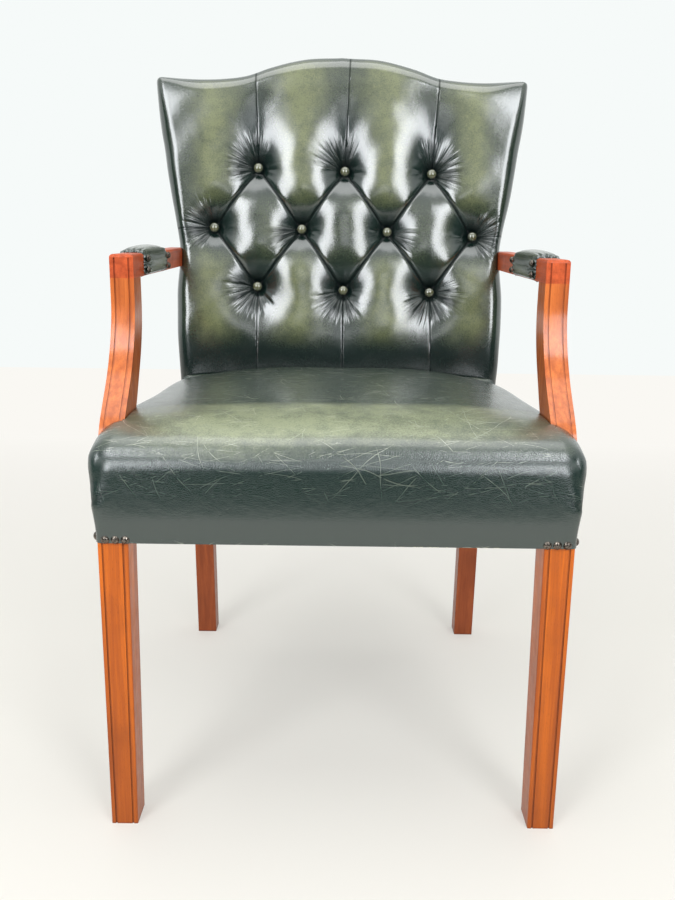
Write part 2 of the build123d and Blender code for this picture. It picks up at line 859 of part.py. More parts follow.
with BuildPart() as arm_pad_nails:
    with Locations(*pad_nail_planes):
        add(dome_headed(pad_nail_radius, pad_nail_height, nail_shank_length))
finish(arm_pad_nails.part, "arm_pad_nails")

# The back's frame: a serpentine crest rail on the posts and a rail above the seat
with BuildPart() as crest_rail:
    whole_back = back_outline(cover_build, back_bottom)
    with BuildSketch(back_plane):
        add(whole_back)
        with Locations((0, crest_bottom + back_half_width)):
            Rectangle(2 * back_half_width, 2 * back_half_width, mode=Mode.INTERSECT)
    extrude(amount=-post_depth)
    drill_dowels(crest_dowel_planes)
finish(crest_rail.part, "crest_rail")

with BuildPart() as crest_dowels:
    with Locations(*crest_dowel_planes):
        Cylinder(dowel_radius, dowel_length)
finish(crest_dowels.part, "crest_dowels")

with BuildPart() as lower_back_rail:
    with BuildSketch(back_plane):
        with Locations((0, lower_rail_bottom + lower_rail_height / 2)):
            Rectangle(rear_width - post_foot_width, lower_rail_height)
    extrude(amount=-rail_thickness)
    for side_name, side in sides:
        add(rear_posts[side_name], mode=Mode.SUBTRACT)
finish(lower_back_rail.part, "lower_back_rail")

# Webbing over the back's frame, clear of the buttons' ties
strap_bottom = lower_rail_bottom + strap_landing
strap_top = crest_bottom + strap_landing
with BuildPart() as back_webbing:
    with BuildSketch(back_plane):
        for column in range(2 * row_counts[0]):
            x = (column - row_counts[0] + 1 / 2) * button_pitch / 2
            with Locations((x, (strap_bottom + strap_top) / 2)):
                Rectangle(strap_width, strap_top - strap_bottom)
    extrude(amount=strap_thickness)
    with BuildSketch(back_plane.offset(strap_thickness)):
        for row in range(len(row_counts) + 1):
            height = middle_row_height + (row - len(row_counts) / 2) * button_row_pitch
            with Locations((0, height)):
                Rectangle(rear_width, strap_width)
    extrude(amount=strap_thickness)
finish(back_webbing.part, "back_webbing")

# The places of the buttons, and of the ties that run from them through the webbing
button_rest = tuft_height - well_depth
tie_length = button_rest + tie_tail
button_planes = []
tie_planes = []
for row in button_rows():
    for x, height in row:
        for planes, depth in ((button_planes, button_rest), (tie_planes, tie_length / 2 - tie_tail)):
            place = back_plane.from_local_coords((x, height, depth))
            planes.append(Plane(origin=place, x_dir=(1, 0, 0), z_dir=back_plane.z_dir))


def pierce_ties():
    """Tie holes in the open part."""
    with Locations(*tie_planes):
        Cylinder(tie_radius + dowel_fit, tie_length + dowel_fit, mode=Mode.SUBTRACT)


with BuildPart() as back_hessian:
    cloth_face = back_outline(cover_build + cloth_inset, back_bottom)
    with BuildSketch(back_plane.offset(back_webbing_depth)):
        add(cloth_face)
        with Locations((0, lower_rail_bottom + back_half_width)):
            Rectangle(2 * back_half_width, 2 * back_half_width, mode=Mode.INTERSECT)
    extrude(amount=cloth_thickness)
    pierce_ties()
finish(back_hessian.part, "back_hessian")

# The back's stuffing and its buttoned leather
with BuildPart() as back_pad:
    stuffing_inset = leather + soft_fit
    stuffing_rear = back_stuffing_rear + soft_fit
    add(tufted_body(stuffing_inset, stuffing_rear, back_bottom + stuffing_inset))
    pierce_ties()
    for side_name, side in sides:
        add(arm_bar(side, soft_fit), mode=Mode.SUBTRACT)
finish(back_pad.part, "back_pad")

with BuildPart() as back_cover:
    add(tufted_body(0, -post_depth, back_bottom))
    add(tufted_body(leather, -post_depth - overrun, back_bottom + leather), mode=Mode.SUBTRACT)
    with BuildSketch(back_plane.offset(back_stuffing_rear)):
        with Locations((0, back_bottom)):
            Rectangle(2 * (back_half_width * bottom_width_share - leather), 2 * (leather + soft_fit))
    extrude(amount=-post_depth - overrun, mode=Mode.SUBTRACT)
    pierce_ties()
    for side_name, side in sides:
        add(arm_bar(side, support_fit), mode=Mode.SUBTRACT)
finish(back_cover.part, "back_cover")

with BuildPart() as back_buttons:
    with Locations(*button_planes):
        add(dome_headed(button_radius, button_height, 0))
finish(back_buttons.part, "back_buttons")

with BuildPart() as button_ties:
    with Locations(*tie_planes):
        Cylinder(tie_radius, tie_length)
finish(button_ties.part, "button_ties")

# The plain leather panel on the rear
with BuildPart() as outside_back:
    panel_face = back_outline(panel_inset, back_bottom + panel_inset)
    with BuildSketch(back_plane.offset(-post_depth)):
        add(panel_face)
    extrude(amount=-leather)
finish(outside_back.part, "outside_back")

# Webbing and cloth over the seat frame
with BuildPart() as seat_webbing:
    with BuildSketch(Plane.XY.offset(rail_top)):
        for column in range(seat_strap_count):
            x = (column - (seat_strap_count - 1) / 2) * seat_strap_pitch
            with Locations((x, (leg_front + post_rear) / 2)):
                Rectangle(strap_width, post_rear - leg_front - 2 * cloth_inset)
    extrude(amount=strap_thickness)
    with BuildSketch(Plane.XY.offset(rail_top + strap_thickness)):
        for row in range(seat_strap_count):
            y = cross_strap_start + row * seat_strap_pitch
            half_length = rail_inner_x(y + strap_width / 2) + strap_landing
            with Locations((0, leg_front + y)):
                Rectangle(2 * half_length, strap_width)
    extrude(amount=strap_thickness)
finish(seat_webbing.part, "seat_webbing")

with BuildPart() as seat_hessian:
    front_x = arm_front_spread / 2 - arm_width / 2 - cloth_clearance
    rear_x = rear_half - (front_half - front_x)
    notch_x = rear_half - post_foot_width - cloth_clearance
    notch_y = post_front - cloth_clearance
    right = [
        (front_x, leg_front + cloth_inset),
        (front_x, leg_rear),
        (rear_x, notch_y),
        (notch_x, notch_y),
        (notch_x, post_rear - cloth_inset),
    ]
    left = [(-x, y) for x, y in reversed(right)]
    with BuildSketch(Plane.XY.offset(rail_top + 2 * strap_thickness)):
        Polygon(*right, *left, align=None)
    extrude(amount=cloth_thickness)
finish(seat_hessian.part, "seat_hessian")


def seat_room(fit):
    """The room that the seat leaves for the back and for both arm supports."""
    profile = support_profile(fit)
    inner_x = arm_front_spread / 2 - arm_width / 2 - fit
    with BuildPart() as room:
        with BuildSketch(back_plane.offset(tuft_height + back_gap)):
            with Locations((0, back_bottom - back_gap + overrun)):
                Rectangle(2 * (front_half + overrun), 2 * overrun)
        extrude(amount=-tuft_height - back_gap - post_depth - overrun)
        for side_name, side in sides:
            with BuildSketch(Plane.YZ.offset(side * inner_x)):
                add(profile)
            extrude(amount=side * overrun)
    return room.part


# The seat's stuffing and its leather, which reaches down to the underside of the rails
with BuildPart() as seat_pad:
    add(stuffed_seat(leather + soft_fit, 0))
    with BuildSketch(Plane.XY.offset(seat_stuffing_bottom + soft_fit)):
        Rectangle(2 * front_width, 2 * front_width)
    extrude(amount=-rail_height - overrun, mode=Mode.SUBTRACT)
    add(seat_room(soft_fit), mode=Mode.SUBTRACT)
finish(seat_pad.part, "seat_pad")

with BuildPart() as seat_cover:
    add(stuffed_seat(0, 0))
    add(stuffed_seat(leather, overrun), mode=Mode.SUBTRACT)
    add(seat_room(support_fit), mode=Mode.SUBTRACT)
    for side_name, side in sides:
        add(rear_posts[side_name], mode=Mode.SUBTRACT)
    drill_shanks(seat_nail_planes)
finish(seat_cover.part, "seat_cover")

with BuildPart() as seat_nails:
    with Locations(*seat_nail_planes):
        add(dome_headed(nail_radius, nail_height, nail_shank_length))
finish(seat_nails.part, "seat_nails")

# The cloth that closes the seat from below, cut round the legs
with BuildPart() as bottom_cloth:
    cloth_plan = seat_plan(leather + cloth_inset)
    with BuildSketch(Plane.XY.offset(seat_frame_bottom)):
        add(cloth_plan)
        for side_name, side in sides:
            for outer_x, y, width, depth in (
                (front_half, leg_front, leg_width, leg_depth),
                (rear_half, post_front, post_foot_width, post_depth),
            ):
                with Locations((side * (outer_x - width / 2), y + depth / 2)):
                    Rectangle(
                        width + 2 * cloth_clearance, depth + 2 * cloth_clearance, mode=Mode.SUBTRACT
                    )
    extrude(amount=-cloth_thickness)
finish(bottom_cloth.part, "bottom_cloth")
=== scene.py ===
# %% [markdown]
# # A button-back leather armchair
#
# The frame of this chair comes in ready made: legs, rails, arms and supports stand where they
# belong, in metres. This lesson dresses it. It gives the wood that shows a stained polish and the
# hidden pieces plain finishes of their own, then builds what is soft: the deep-buttoned back, the
# crowned seat and the two arm pads, each as leather pulled over stuffing. Geometry Nodes set out
# the buttons and nails.

# %% Load the frame
import math

import bmesh
import bpy
import numpy as np
from mathutils import Matrix, Vector


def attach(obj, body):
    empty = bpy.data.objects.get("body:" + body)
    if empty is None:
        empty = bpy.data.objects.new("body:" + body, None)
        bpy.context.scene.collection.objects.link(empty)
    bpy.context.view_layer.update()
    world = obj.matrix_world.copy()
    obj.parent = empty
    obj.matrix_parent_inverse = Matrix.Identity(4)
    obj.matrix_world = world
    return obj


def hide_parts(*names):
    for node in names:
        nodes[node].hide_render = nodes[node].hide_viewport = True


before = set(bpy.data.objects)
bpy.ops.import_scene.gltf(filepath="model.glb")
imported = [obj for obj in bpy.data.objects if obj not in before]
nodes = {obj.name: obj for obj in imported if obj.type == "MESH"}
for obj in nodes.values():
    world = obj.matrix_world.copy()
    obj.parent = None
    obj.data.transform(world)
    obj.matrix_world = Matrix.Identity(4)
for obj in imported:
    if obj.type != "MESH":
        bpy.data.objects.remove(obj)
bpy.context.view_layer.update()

print("frame pieces:", len(nodes))

# %% [markdown]
# ## Colours and nodes
#
# Paint is chosen as hex codes, which are written for the eye (sRGB), while shaders count light
# (linear). One function turns the first into the second. Another fills or links a node's inputs,
# and a third adds a node with its options and inputs, so that each finish below reads as a short
# list of what it is made of. Most finishes are one colour with tones laid over it, each where a
# pattern lets it through, and one more function lays such a list of tones.

# %% Colours
def hue(code):
    """An sRGB hex code as a linear colour with alpha."""
    channels = [int(code[i : i + 2], 16) / 255 for i in (1, 3, 5)]
    linear = [c / 12.92 if c <= 0.04045 else ((c + 0.055) / 1.055) ** 2.4 for c in channels]
    return (*linear, 1.0)


print("mid grey gives back", round(hue("#808080")[0], 2), "of the light")


# %% Nodes
def fill(tree, node, **inputs):
    """Sets a node's inputs to a value or a hex colour, or links them to other nodes' outputs.

    An input is named with _ for a space, or input_N for its place in the list.
    """
    for key, value in inputs.items():
        if key.startswith("input_"):
            socket = node.inputs[int(key[6:])]
        else:
            socket = node.inputs[key.replace("_", " ")]
        if isinstance(value, bpy.types.NodeSocket):
            tree.links.new(value, socket)
        elif isinstance(value, str) and value.startswith("#"):
            socket.default_value = hue(value)
        else:
            socket.default_value = value


def add_node(tree, kind, settings=None, give=0, **inputs):
    """Adds a node with its settings and links, and gives one output, or all of them for None."""
    node = tree.nodes.new(kind)
    for key, value in (settings or {}).items():
        setattr(node, key, value)
    fill(tree, node, **inputs)
    return node.outputs if give is None else node.outputs[give]


# kinds of node and settings that come often
NOISE, RANGE = "ShaderNodeTexNoise", "ShaderNodeMapRange"
MATH, BUMP = "ShaderNodeMath", "ShaderNodeBump"
COLOURS = {"data_type": "RGBA"}
ADD, TIMES, LARGER = {"operation": "ADD"}, {"operation": "MULTIPLY"}, {"operation": "MAXIMUM"}


def new_finish(name):
    """An empty material, its tree, its shader, and Object coordinates counted in millimetres."""
    material = bpy.data.materials.new(name)
    material.use_nodes = True
    tree = material.node_tree
    shader = tree.nodes["Principled BSDF"]
    place = add_node(tree, "ShaderNodeTexCoord", give="Object")
    larger = {"operation": "SCALE"}
    in_mm = add_node(tree, "ShaderNodeVectorMath", larger, Vector=place, Scale=1000.0)
    return material, tree, shader, in_mm


def layered(tree, colour, layers):
    """Lays tones over a colour, one after another.

    A layer has a pattern, its values where the tone starts and where it is full, how much of the
    tone shows there, and the tone.
    """
    for pattern, start, full, most, tone in layers:
        much = add_node(tree, RANGE, Value=pattern, From_Min=start, From_Max=full, To_Max=most)
        colour = add_node(
            tree, "ShaderNodeMix", COLOURS, 2, Factor=much, input_6=colour, input_7=tone
        )
    return colour


def along_grain(grain, wide, far):
    """A pattern scale for marks of one size across the grain's axis and another along it."""
    scale = [1 / wide] * 3
    scale[grain] = 1 / far
    return scale


print("node helpers ready")

# %% [markdown]
# ## Stained and polished show-wood
#
# The wood that shows is a close-grained hardwood, stained orange-brown and finished with a
# semi-gloss polish. Its figure is quiet: long soft streaks, a few millimetres wide, and short
# darker flecks along the grain. The streaks are noise stretched along the grain, so each board
# direction gets its own copy of the finish. The polish is a clear coat, smoother than the wood.
# Painted shade darkens it towards the feet, and in the line grooves, which an occlusion pattern
# finds. The rear posts get a darker copy of the stain, painted shade for posts that stand in
# shadow.

# %% Polished wood
def polished_wood(name, grain, light, dark, deep, sheen, groove):
    """Stained hardwood under a clear polish. grain is the axis that the streaks follow."""
    material, tree, shader, place = new_finish(name)

    drawn = add_node(tree, "ShaderNodeMapping", Vector=place, Scale=along_grain(grain, 7.0, 240.0))
    streaks = add_node(tree, NOISE, Vector=drawn, Scale=1.0, Detail=4.0, Roughness=0.6)
    drawn = add_node(tree, "ShaderNodeMapping", Vector=place, Scale=along_grain(grain, 1.5, 90.0))
    fine = add_node(tree, NOISE, Vector=drawn, Scale=1.0, Detail=2.0, Roughness=0.55)
    drawn = add_node(tree, "ShaderNodeMapping", Vector=place, Scale=along_grain(grain, 1.1, 9.0))
    pores = add_node(tree, "ShaderNodeTexVoronoi", {"feature": "F1"}, Vector=drawn, Scale=1.0)
    drawn = add_node(tree, "ShaderNodeMapping", Vector=place, Scale=(1 / 55, 1 / 55, 1 / 90))
    blotch = add_node(tree, NOISE, Vector=drawn, Scale=1.0, Detail=3.0, Roughness=0.55)
    height = add_node(tree, "ShaderNodeSeparateXYZ", Vector=place, give="Z")
    # painted shade: an occlusion pattern darkens the line grooves with the groove tone
    painted_groove_shade = add_node(tree, "ShaderNodeAmbientOcclusion", {"samples": 8}, "AO", Distance=0.0035)
    layers = (
        (streaks, 0.36, 0.64, 1.0, dark),
        (fine, 0.48, 0.72, 0.5, dark),
        (pores, 0.24, 0.08, 0.5, deep),
        (blotch, 0.5, 0.75, 0.4, deep),
        # painted shade: darker towards the feet, below 300 mm
        (height, 300.0, 0.0, 0.45, deep),
        (painted_groove_shade, 0.85, 0.45, 0.72, groove),
    )
    uneven = add_node(tree, NOISE, Vector=place, Scale=1 / 14, Detail=3.0, Roughness=0.55)
    dull = add_node(tree, RANGE, Value=uneven, From_Min=0.3, From_Max=0.7, To_Min=0.36, To_Max=0.5)
    raised = add_node(tree, BUMP, Height=fine, Distance=0.06 / 1000, Strength=1.0)
    fill(tree, shader, Base_Color=layered(tree, light, layers), Roughness=dull, Normal=raised)
    fill(tree, shader, Specular_IOR_Level=0.2, Coat_Weight=sheen, Coat_Roughness=0.14)
    return material


leg_wood = polished_wood(
    "stained_beech_upright", 2, "#cf6812", "#a64e12", "#70310f", 0.28, "#5a2410"
)
support_wood = polished_wood(
    "stained_beech_support", 2, "#d2702f", "#b0551f", "#863f1c", 0.8, "#74300f"
)
arm_wood = polished_wood("stained_beech_arm", 1, "#cc5a2c", "#a8451e", "#762a14", 0.12, "#6a2410")
# painted shade: the rear posts get a darker copy of the stain, as they stand in shadow
rear_wood_in_shade = polished_wood("stained_beech_rear_in_shade", 2, "#b05a2e", "#914522", "#6e3117", 0.2, "#3a160a")
print("show-wood finishes:", leg_wood.name, support_wood.name, arm_wood.name, rear_wood_in_shade.name)

# %% [markdown]
# ## Raw wood, cloths, twine and metals
#
# Under the leather the rails and blocks are plain beech, planed and left bare. Webbing and hessian
# are jute, one close-woven in strong straps, the other an open plain weave. The dust cloth below
# is black cotton. A weave is two wave patterns that cross: where one thread is up the other is
# down. Threads too thin to show are drawn about twice as coarse. The nails are domed brass with a
# dark antique finish, and the screws are plain steel.

# %% Hidden wood
def raw_wood(name, grain):
    """Planed beech with no finish: pale, dull, with streaks 5 mm wide and flecks under 1 mm."""
    material, tree, shader, place = new_finish(name)
    drawn = add_node(tree, "ShaderNodeMapping", Vector=place, Scale=along_grain(grain, 5.0, 160.0))
    streaks = add_node(tree, NOISE, Vector=drawn, Scale=1.0, Detail=4.0, Roughness=0.55)
    drawn = add_node(tree, "ShaderNodeMapping", Vector=place, Scale=along_grain(grain, 0.8, 4.0))
    flecks = add_node(tree, NOISE, Vector=drawn, Scale=1.0, Detail=1.0, Roughness=0.55)
    layers = ((streaks, 0.35, 0.7, 1.0, "#bb9362"), (flecks, 0.6, 0.75, 0.4, "#8f6a42"))
    colour = layered(tree, "#d9b98c", layers)
    raised = add_node(tree, BUMP, Height=flecks, Distance=0.08 / 1000, Strength=1.0)
    fill(tree, shader, Base_Color=colour, Roughness=0.72, Normal=raised)
    return material


raw_across = raw_wood("planed_beech_across", 0)
raw_along = raw_wood("planed_beech_along", 1)
raw_up = raw_wood("planed_beech_up", 2)
print("raw wood:", raw_across.name, raw_along.name, raw_up.name)


# %% Woven cloths
def woven(name, thread, warp, weft, axes=(0, 1), gap="#2a2015", rough=0.85):
    """Plain weave with a thread spacing in millimetres, on the plane of two axes."""
    material, tree, shader, place = new_finish(name)
    split = add_node(tree, "ShaderNodeSeparateXYZ", give=None, Vector=place)
    wobble = add_node(tree, NOISE, Vector=place, Scale=1 / 7, Detail=2.0, Roughness=0.55)
    drift = add_node(tree, MATH, TIMES, input_0=wobble, input_1=thread * 0.6)
    waves, heights = [], []
    for axis in axes:
        shifted = add_node(tree, MATH, ADD, input_0=split[axis], input_1=drift)
        turns = add_node(tree, MATH, TIMES, input_0=shifted, input_1=math.pi / thread)
        waves.append(add_node(tree, MATH, {"operation": "SINE"}, input_0=turns))
        heights.append(add_node(tree, MATH, {"operation": "ABSOLUTE"}, input_0=waves[-1]))
    over = add_node(tree, MATH, TIMES, input_0=waves[0], input_1=waves[1])
    ridge = add_node(tree, MATH, LARGER, input_0=heights[0], input_1=heights[1])
    fuzz = add_node(tree, NOISE, Vector=place, Scale=1 / 0.9, Detail=2.0, Roughness=0.55)
    layers = (
        (over, -0.3, 0.3, 1.0, weft),
        (ridge, 0.75, 0.45, 1.0, gap),
        (fuzz, 0.5, 0.8, 0.3, gap),
    )
    hairy = add_node(tree, MATH, ADD, input_0=ridge, input_1=fuzz)
    raised = add_node(tree, BUMP, Height=hairy, Distance=thread * 0.25 / 1000, Strength=1.0)
    fill(tree, shader, Base_Color=layered(tree, warp, layers), Roughness=rough, Normal=raised)
    fill(tree, shader, Sheen_Weight=0.25)
    return material


strap_jute = woven("jute_webbing", 2.2, "#8a6d45", "#6f5634")
plain_jute = woven("jute_hessian", 1.6, "#a58559", "#92744a")
dust_cotton = woven("black_dust_cloth", 1.4, "#1d1d1c", "#161615", gap="#060606", rough=0.9)
back_jute = woven("jute_hessian_back", 1.6, "#a58559", "#92744a", axes=(0, 2))
back_strap_jute = woven("jute_webbing_back", 2.2, "#8a6d45", "#6f5634", axes=(0, 2))
print("cloths:", strap_jute.name, plain_jute.name, dust_cotton.name)


# %% Twine and metals
def twine(name):
    """Waxed flax twine: two plies that wind round each other, drawn as slanted waves."""
    material, tree, shader, place = new_finish(name)
    slanted = {"wave_type": "BANDS", "bands_direction": "DIAGONAL"}
    ply = add_node(
        tree, "ShaderNodeTexWave", slanted, "Fac", Vector=place, Scale=0.5, Distortion=0.6
    )
    colour = layered(tree, "#7d6f54", [(ply, 0.0, 1.0, 1.0, "#c9b994")])
    raised = add_node(tree, BUMP, Height=ply, Distance=0.2 / 1000, Strength=1.0)
    fill(tree, shader, Base_Color=colour, Roughness=0.6, Normal=raised)
    return material


def metal(name, bright, dark, rough, patch_mm):
    """A metal with a darker, duller film in patches."""
    material, tree, shader, place = new_finish(name)
    film = add_node(tree, NOISE, Vector=place, Scale=1 / patch_mm, Detail=4.0, Roughness=0.65)
    colour = layered(tree, bright, [(film, 0.42, 0.62, 1.0, dark)])
    between = {"From_Min": 0.35, "From_Max": 0.7, "To_Min": rough, "To_Max": rough + 0.2}
    dull = add_node(tree, RANGE, Value=film, **between)
    raised = add_node(tree, BUMP, Height=film, Distance=0.05 / 1000, Strength=1.0)
    fill(tree, shader, Base_Color=colour, Roughness=dull, Metallic=1.0, Normal=raised)
    return material


tie_twine = twine("waxed_flax_twine")
nail_brass = metal("antiqued_domed_brass", "#857c73", "#332d28", 0.22, 2.4)
screw_steel = metal("plain_screw_steel", "#a5a5a2", "#7d7d7a", 0.35, 3.0)
print("twine and metals:", tie_twine.name, nail_brass.name, screw_steel.name)

# %% [markdown]
# ## Antiqued hide
#
# The leather is a corrected hide, spray-dyed bottle green almost to black, then rubbed so that
# paler olive shows wherever the stuffing pushes it forward. A thin, hard lacquer gives it a bright
# window shine. Each leather mesh below carries a few numbers on every point: how far it was rubbed
# ("rub"), how much shade is painted into its folds, gathers and button hollows ("fold_shade"), on
# the seat how much it has worn ("wear"), and on the back the direction in which the nearest button
# draws the leather ("spoke") and how hard ("pull"). The shader mixes the dye by them, darkening
# the painted shade and taking its lacquer away, breaks the mixture up with noise a few centimetres
# wide, and adds the grain, drawn at 2 mm so that it shows, the wrinkles that fan out from a
# button, and the fine pale cracks that years of use leave on a seat.

# %% Cracks in old lacquer
# each family of hairlines runs its own way: its turn, its step and its width in millimetres
CRACKS = (
    (1.25, 24.0, 0.5), (1.75, 21.0, 0.5), (0.6, 27.0, 0.45), (2.4, 25.0, 0.45),
    (1.5, 9.0, 0.3), (2.0, 8.0, 0.3), (0.2, 30.0, 0.4),
)


def crackle(tree, place, turn, apart_mm, line_mm):
    """Long hairlines that run one way: thin stripes, bent a little, of which stretches stay."""
    way = (math.cos(turn), math.sin(turn), math.sin(turn))
    across = {"operation": "DOT_PRODUCT"}
    along = add_node(tree, "ShaderNodeVectorMath", across, "Value", input_0=place, input_1=way)
    bend_mm = 38.0 + apart_mm
    bent = add_node(tree, NOISE, Vector=place, Scale=1 / 120, Detail=1.5)
    # each direction starts its stripes at a place of its own
    start = {"operation": "MULTIPLY_ADD"}
    bent = add_node(tree, MATH, start, input_0=bent, input_1=bend_mm, input_2=61.0 * turn)
    along = add_node(tree, MATH, ADD, input_0=along, input_1=bent)
    there_and_back = {"operation": "PINGPONG"}
    line = add_node(tree, MATH, there_and_back, input_0=along, input_1=apart_mm)
    line = add_node(tree, RANGE, Value=line, From_Min=line_mm, From_Max=0.3 * line_mm)
    patches = {"Scale": 1 / 42, "Detail": 3.0, "Roughness": 0.6, "Distortion": turn}
    kept = add_node(tree, NOISE, Vector=place, **patches)
    kept = add_node(tree, RANGE, Value=kept, From_Min=0.51, From_Max=0.61)
    return add_node(tree, MATH, TIMES, input_0=line, input_1=kept)


def wear_layers(tree, place, wear):
    """The cracks of a worn hide, and the flakes where it is folded under, as two layers."""
    marks = 0.0
    for family in CRACKS:
        more = crackle(tree, place, *family)
        marks = add_node(tree, MATH, LARGER, input_0=marks, input_1=more)
    much = add_node(tree, RANGE, Value=wear, From_Max=0.75, To_Max=0.42)
    marks = add_node(tree, MATH, TIMES, input_0=marks, input_1=much)
    drawn = add_node(tree, "ShaderNodeMapping", Vector=place, Scale=(1 / 5.5, 1 / 1.8, 1 / 1.8))
    flake = add_node(tree, NOISE, Vector=drawn, Scale=1.0, Detail=4.0, Roughness=0.7)
    flake = add_node(tree, RANGE, Value=flake, From_Min=0.52, From_Max=0.56)
    much = add_node(tree, RANGE, Value=wear, From_Min=0.88, From_Max=0.97)
    flake = add_node(tree, MATH, TIMES, input_0=flake, input_1=much)
    return [(marks, 0.0, 1.0, 1.0, "#d2d6c0"), (flake, 0.0, 1.0, 1.0, "#d8cfa6")]


print("families of cracks:", len(CRACKS))


# %% Leather
def antiqued_hide(name, dye, rubbed, grain_mm, worn, gloss):
    """Dyed and rubbed hide under lacquer. worn adds the cracks and flakes of the seat."""
    material, tree, shader, place = new_finish(name)
    rub, fold_shade, wear, pull = (
        add_node(tree, "ShaderNodeAttribute", {"attribute_name": key}, "Fac")
        for key in ("rub", "fold_shade", "wear", "pull")
    )
    # wrinkles that fan out from a button: noise that changes round it and not along a spoke
    spoke = add_node(tree, "ShaderNodeAttribute", {"attribute_name": "spoke"}, "Vector")
    rays = add_node(tree, NOISE, Vector=spoke, Scale=1 / 0.2, Detail=3.0, Roughness=0.55)
    rays = add_node(tree, RANGE, Value=rays, From_Min=0.38, From_Max=0.6)
    rays = add_node(tree, MATH, TIMES, input_0=rays, input_1=pull)
    # painted shade: creases, gathers and the fans' wrinkles are darkened and lose their lacquer,
    # so they stay dark at every angle
    shaded = add_node(tree, MATH, TIMES, input_0=rays, input_1=0.75)
    painted_crease_shade = add_node(tree, MATH, LARGER, input_0=fold_shade, input_1=shaded)
    coat = add_node(tree, RANGE, Value=painted_crease_shade, From_Max=0.9, To_Min=1.0, To_Max=0.0)

    # the dye, rubbed through in clouds and specks
    cloud = add_node(tree, NOISE, Vector=place, Scale=1 / 26, Detail=4.0, Roughness=0.62)
    speck = add_node(tree, NOISE, Vector=place, Scale=1 / 1.9, Detail=3.0, Roughness=0.75)
    for pattern, most in ((cloud, 1.2), (speck, 1.35)):
        between = {"From_Min": 0.3, "From_Max": 0.7, "To_Min": 0.55, "To_Max": most}
        much = add_node(tree, RANGE, Value=pattern, **between)
        rub = add_node(tree, MATH, TIMES, input_0=rub, input_1=much)
    layers = [
        (speck, 0.4, 0.85, 1.0, "#23362e"),
        (rub, 0.02, 0.95, 1.0, rubbed),
        # painted shade: a near-black tone in folds, gathers, button hollows and wrinkles
        (painted_crease_shade, 0.1, 1.0, 0.95, "#04070a"),
    ]
    if worn:
        layers += wear_layers(tree, place, wear)

    # the hide is duller than the lacquer on it
    dull = add_node(tree, MATH, TIMES, input_0=speck, input_1=0.6)
    dull = add_node(tree, MATH, ADD, input_0=cloud, input_1=dull)
    between = {"From_Min": 0.55, "From_Max": 1.05, "To_Min": gloss, "To_Max": gloss + 0.2}
    dull = add_node(tree, RANGE, Value=dull, **between)

    # soft unevenness, then the drawn wrinkles, then the grain, each raised on the one before
    uneven = add_node(tree, NOISE, Vector=place, Scale=1 / 11, Detail=3.0, Roughness=0.55)
    pebbles = {"feature": "DISTANCE_TO_EDGE"}
    grain = add_node(tree, "ShaderNodeTexVoronoi", pebbles, Vector=place, Scale=1 / grain_mm)
    grain = add_node(tree, RANGE, Value=grain, From_Max=0.14)
    uneven_mm, grain_deep_mm = (0.3, 0.055) if worn else (0.12, 0.014)
    normal = add_node(tree, BUMP, Height=uneven, Distance=uneven_mm / 1000, Strength=1.0)
    for height, deep_mm in ((rays, 1.2), (grain, grain_deep_mm)):
        raised = {"Height": height, "Distance": deep_mm / 1000, "Strength": 1.0}
        normal = add_node(tree, BUMP, Normal=normal, **raised)
    fill(tree, shader, Base_Color=layered(tree, dye, layers), Roughness=dull, Normal=normal)
    fill(tree, shader, Specular_IOR_Level=0.1, Coat_Weight=coat, Coat_Normal=normal)
    fill(tree, shader, Coat_IOR=1.85 if worn else 2.0, Coat_Roughness=gloss - 0.08)
    return material


back_hide = antiqued_hide("antiqued_hide_back", "#0a1e1a", "#6c724a", 2.0, False, 0.25)
# the seat's rubbed tone is pale: partly real wear, partly a painted sheen
seat_hide = antiqued_hide("antiqued_hide_seat", "#0e2420", "#8f9674", 2.2, True, 0.3)
print("leathers:", back_hide.name, seat_hide.name)

# %% [markdown]
# ## Finishes on the ready-made pieces
#
# A frame piece keeps its mesh, and only its material slots change. The table below goes by name:
# show-wood by the way its grain runs, hidden beech the same way, then cloths and metals.

# %% Dress the frame
finish_of = {
    "front_leg": leg_wood,
    "rear_post": rear_wood_in_shade,
    "arm_support": support_wood,
    "arm_rail": arm_wood,
    "front_seat_rail": raw_across,
    "rear_seat_rail": raw_across,
    "side_seat_rail": raw_along,
    "corner_block": raw_along,
    "crest_rail": raw_across,
    "lower_back_rail": raw_across,
    "seat_rail_dowels": raw_along,
    "crest_dowels": raw_up,
    "arm_dowels": raw_up,
    "corner_block_screws": screw_steel,
    "arm_support_screws": screw_steel,
    "arm_rail_screws": screw_steel,
    "seat_webbing": strap_jute,
    "seat_hessian": plain_jute,
    "back_webbing": back_strap_jute,
    "back_hessian": back_jute,
    "bottom_cloth": dust_cotton,
    "button_ties": tie_twine,
    "outside_back": back_hide,
    "seat_nails": nail_brass,
    "arm_pad_nails": nail_brass,
}
dressed = 0
for name, node in nodes.items():
    keys = [key for key in finish_of if name.startswith(key)]
    if keys:
        finish = finish_of[max(keys, key=len)]
        for slot in node.material_slots:
            slot.material = finish
        dressed += 1
print("pieces dressed:", dressed, "of", len(nodes))

# %% [markdown]
# ## The chair's measures
#
# The soft pieces follow a handful of sizes of the frame, in millimetres: where the front legs'
# front and outer faces stand, how far back the posts start to lean, and at what angle. Heights on
# the back are counted along its rake, and "out" is the distance in front of the posts' faces.

# %% Measures and the back's own axes
LEG_FRONT = -306.376
LEG_SIDE = 262.0
RAKE = math.radians(9.0)
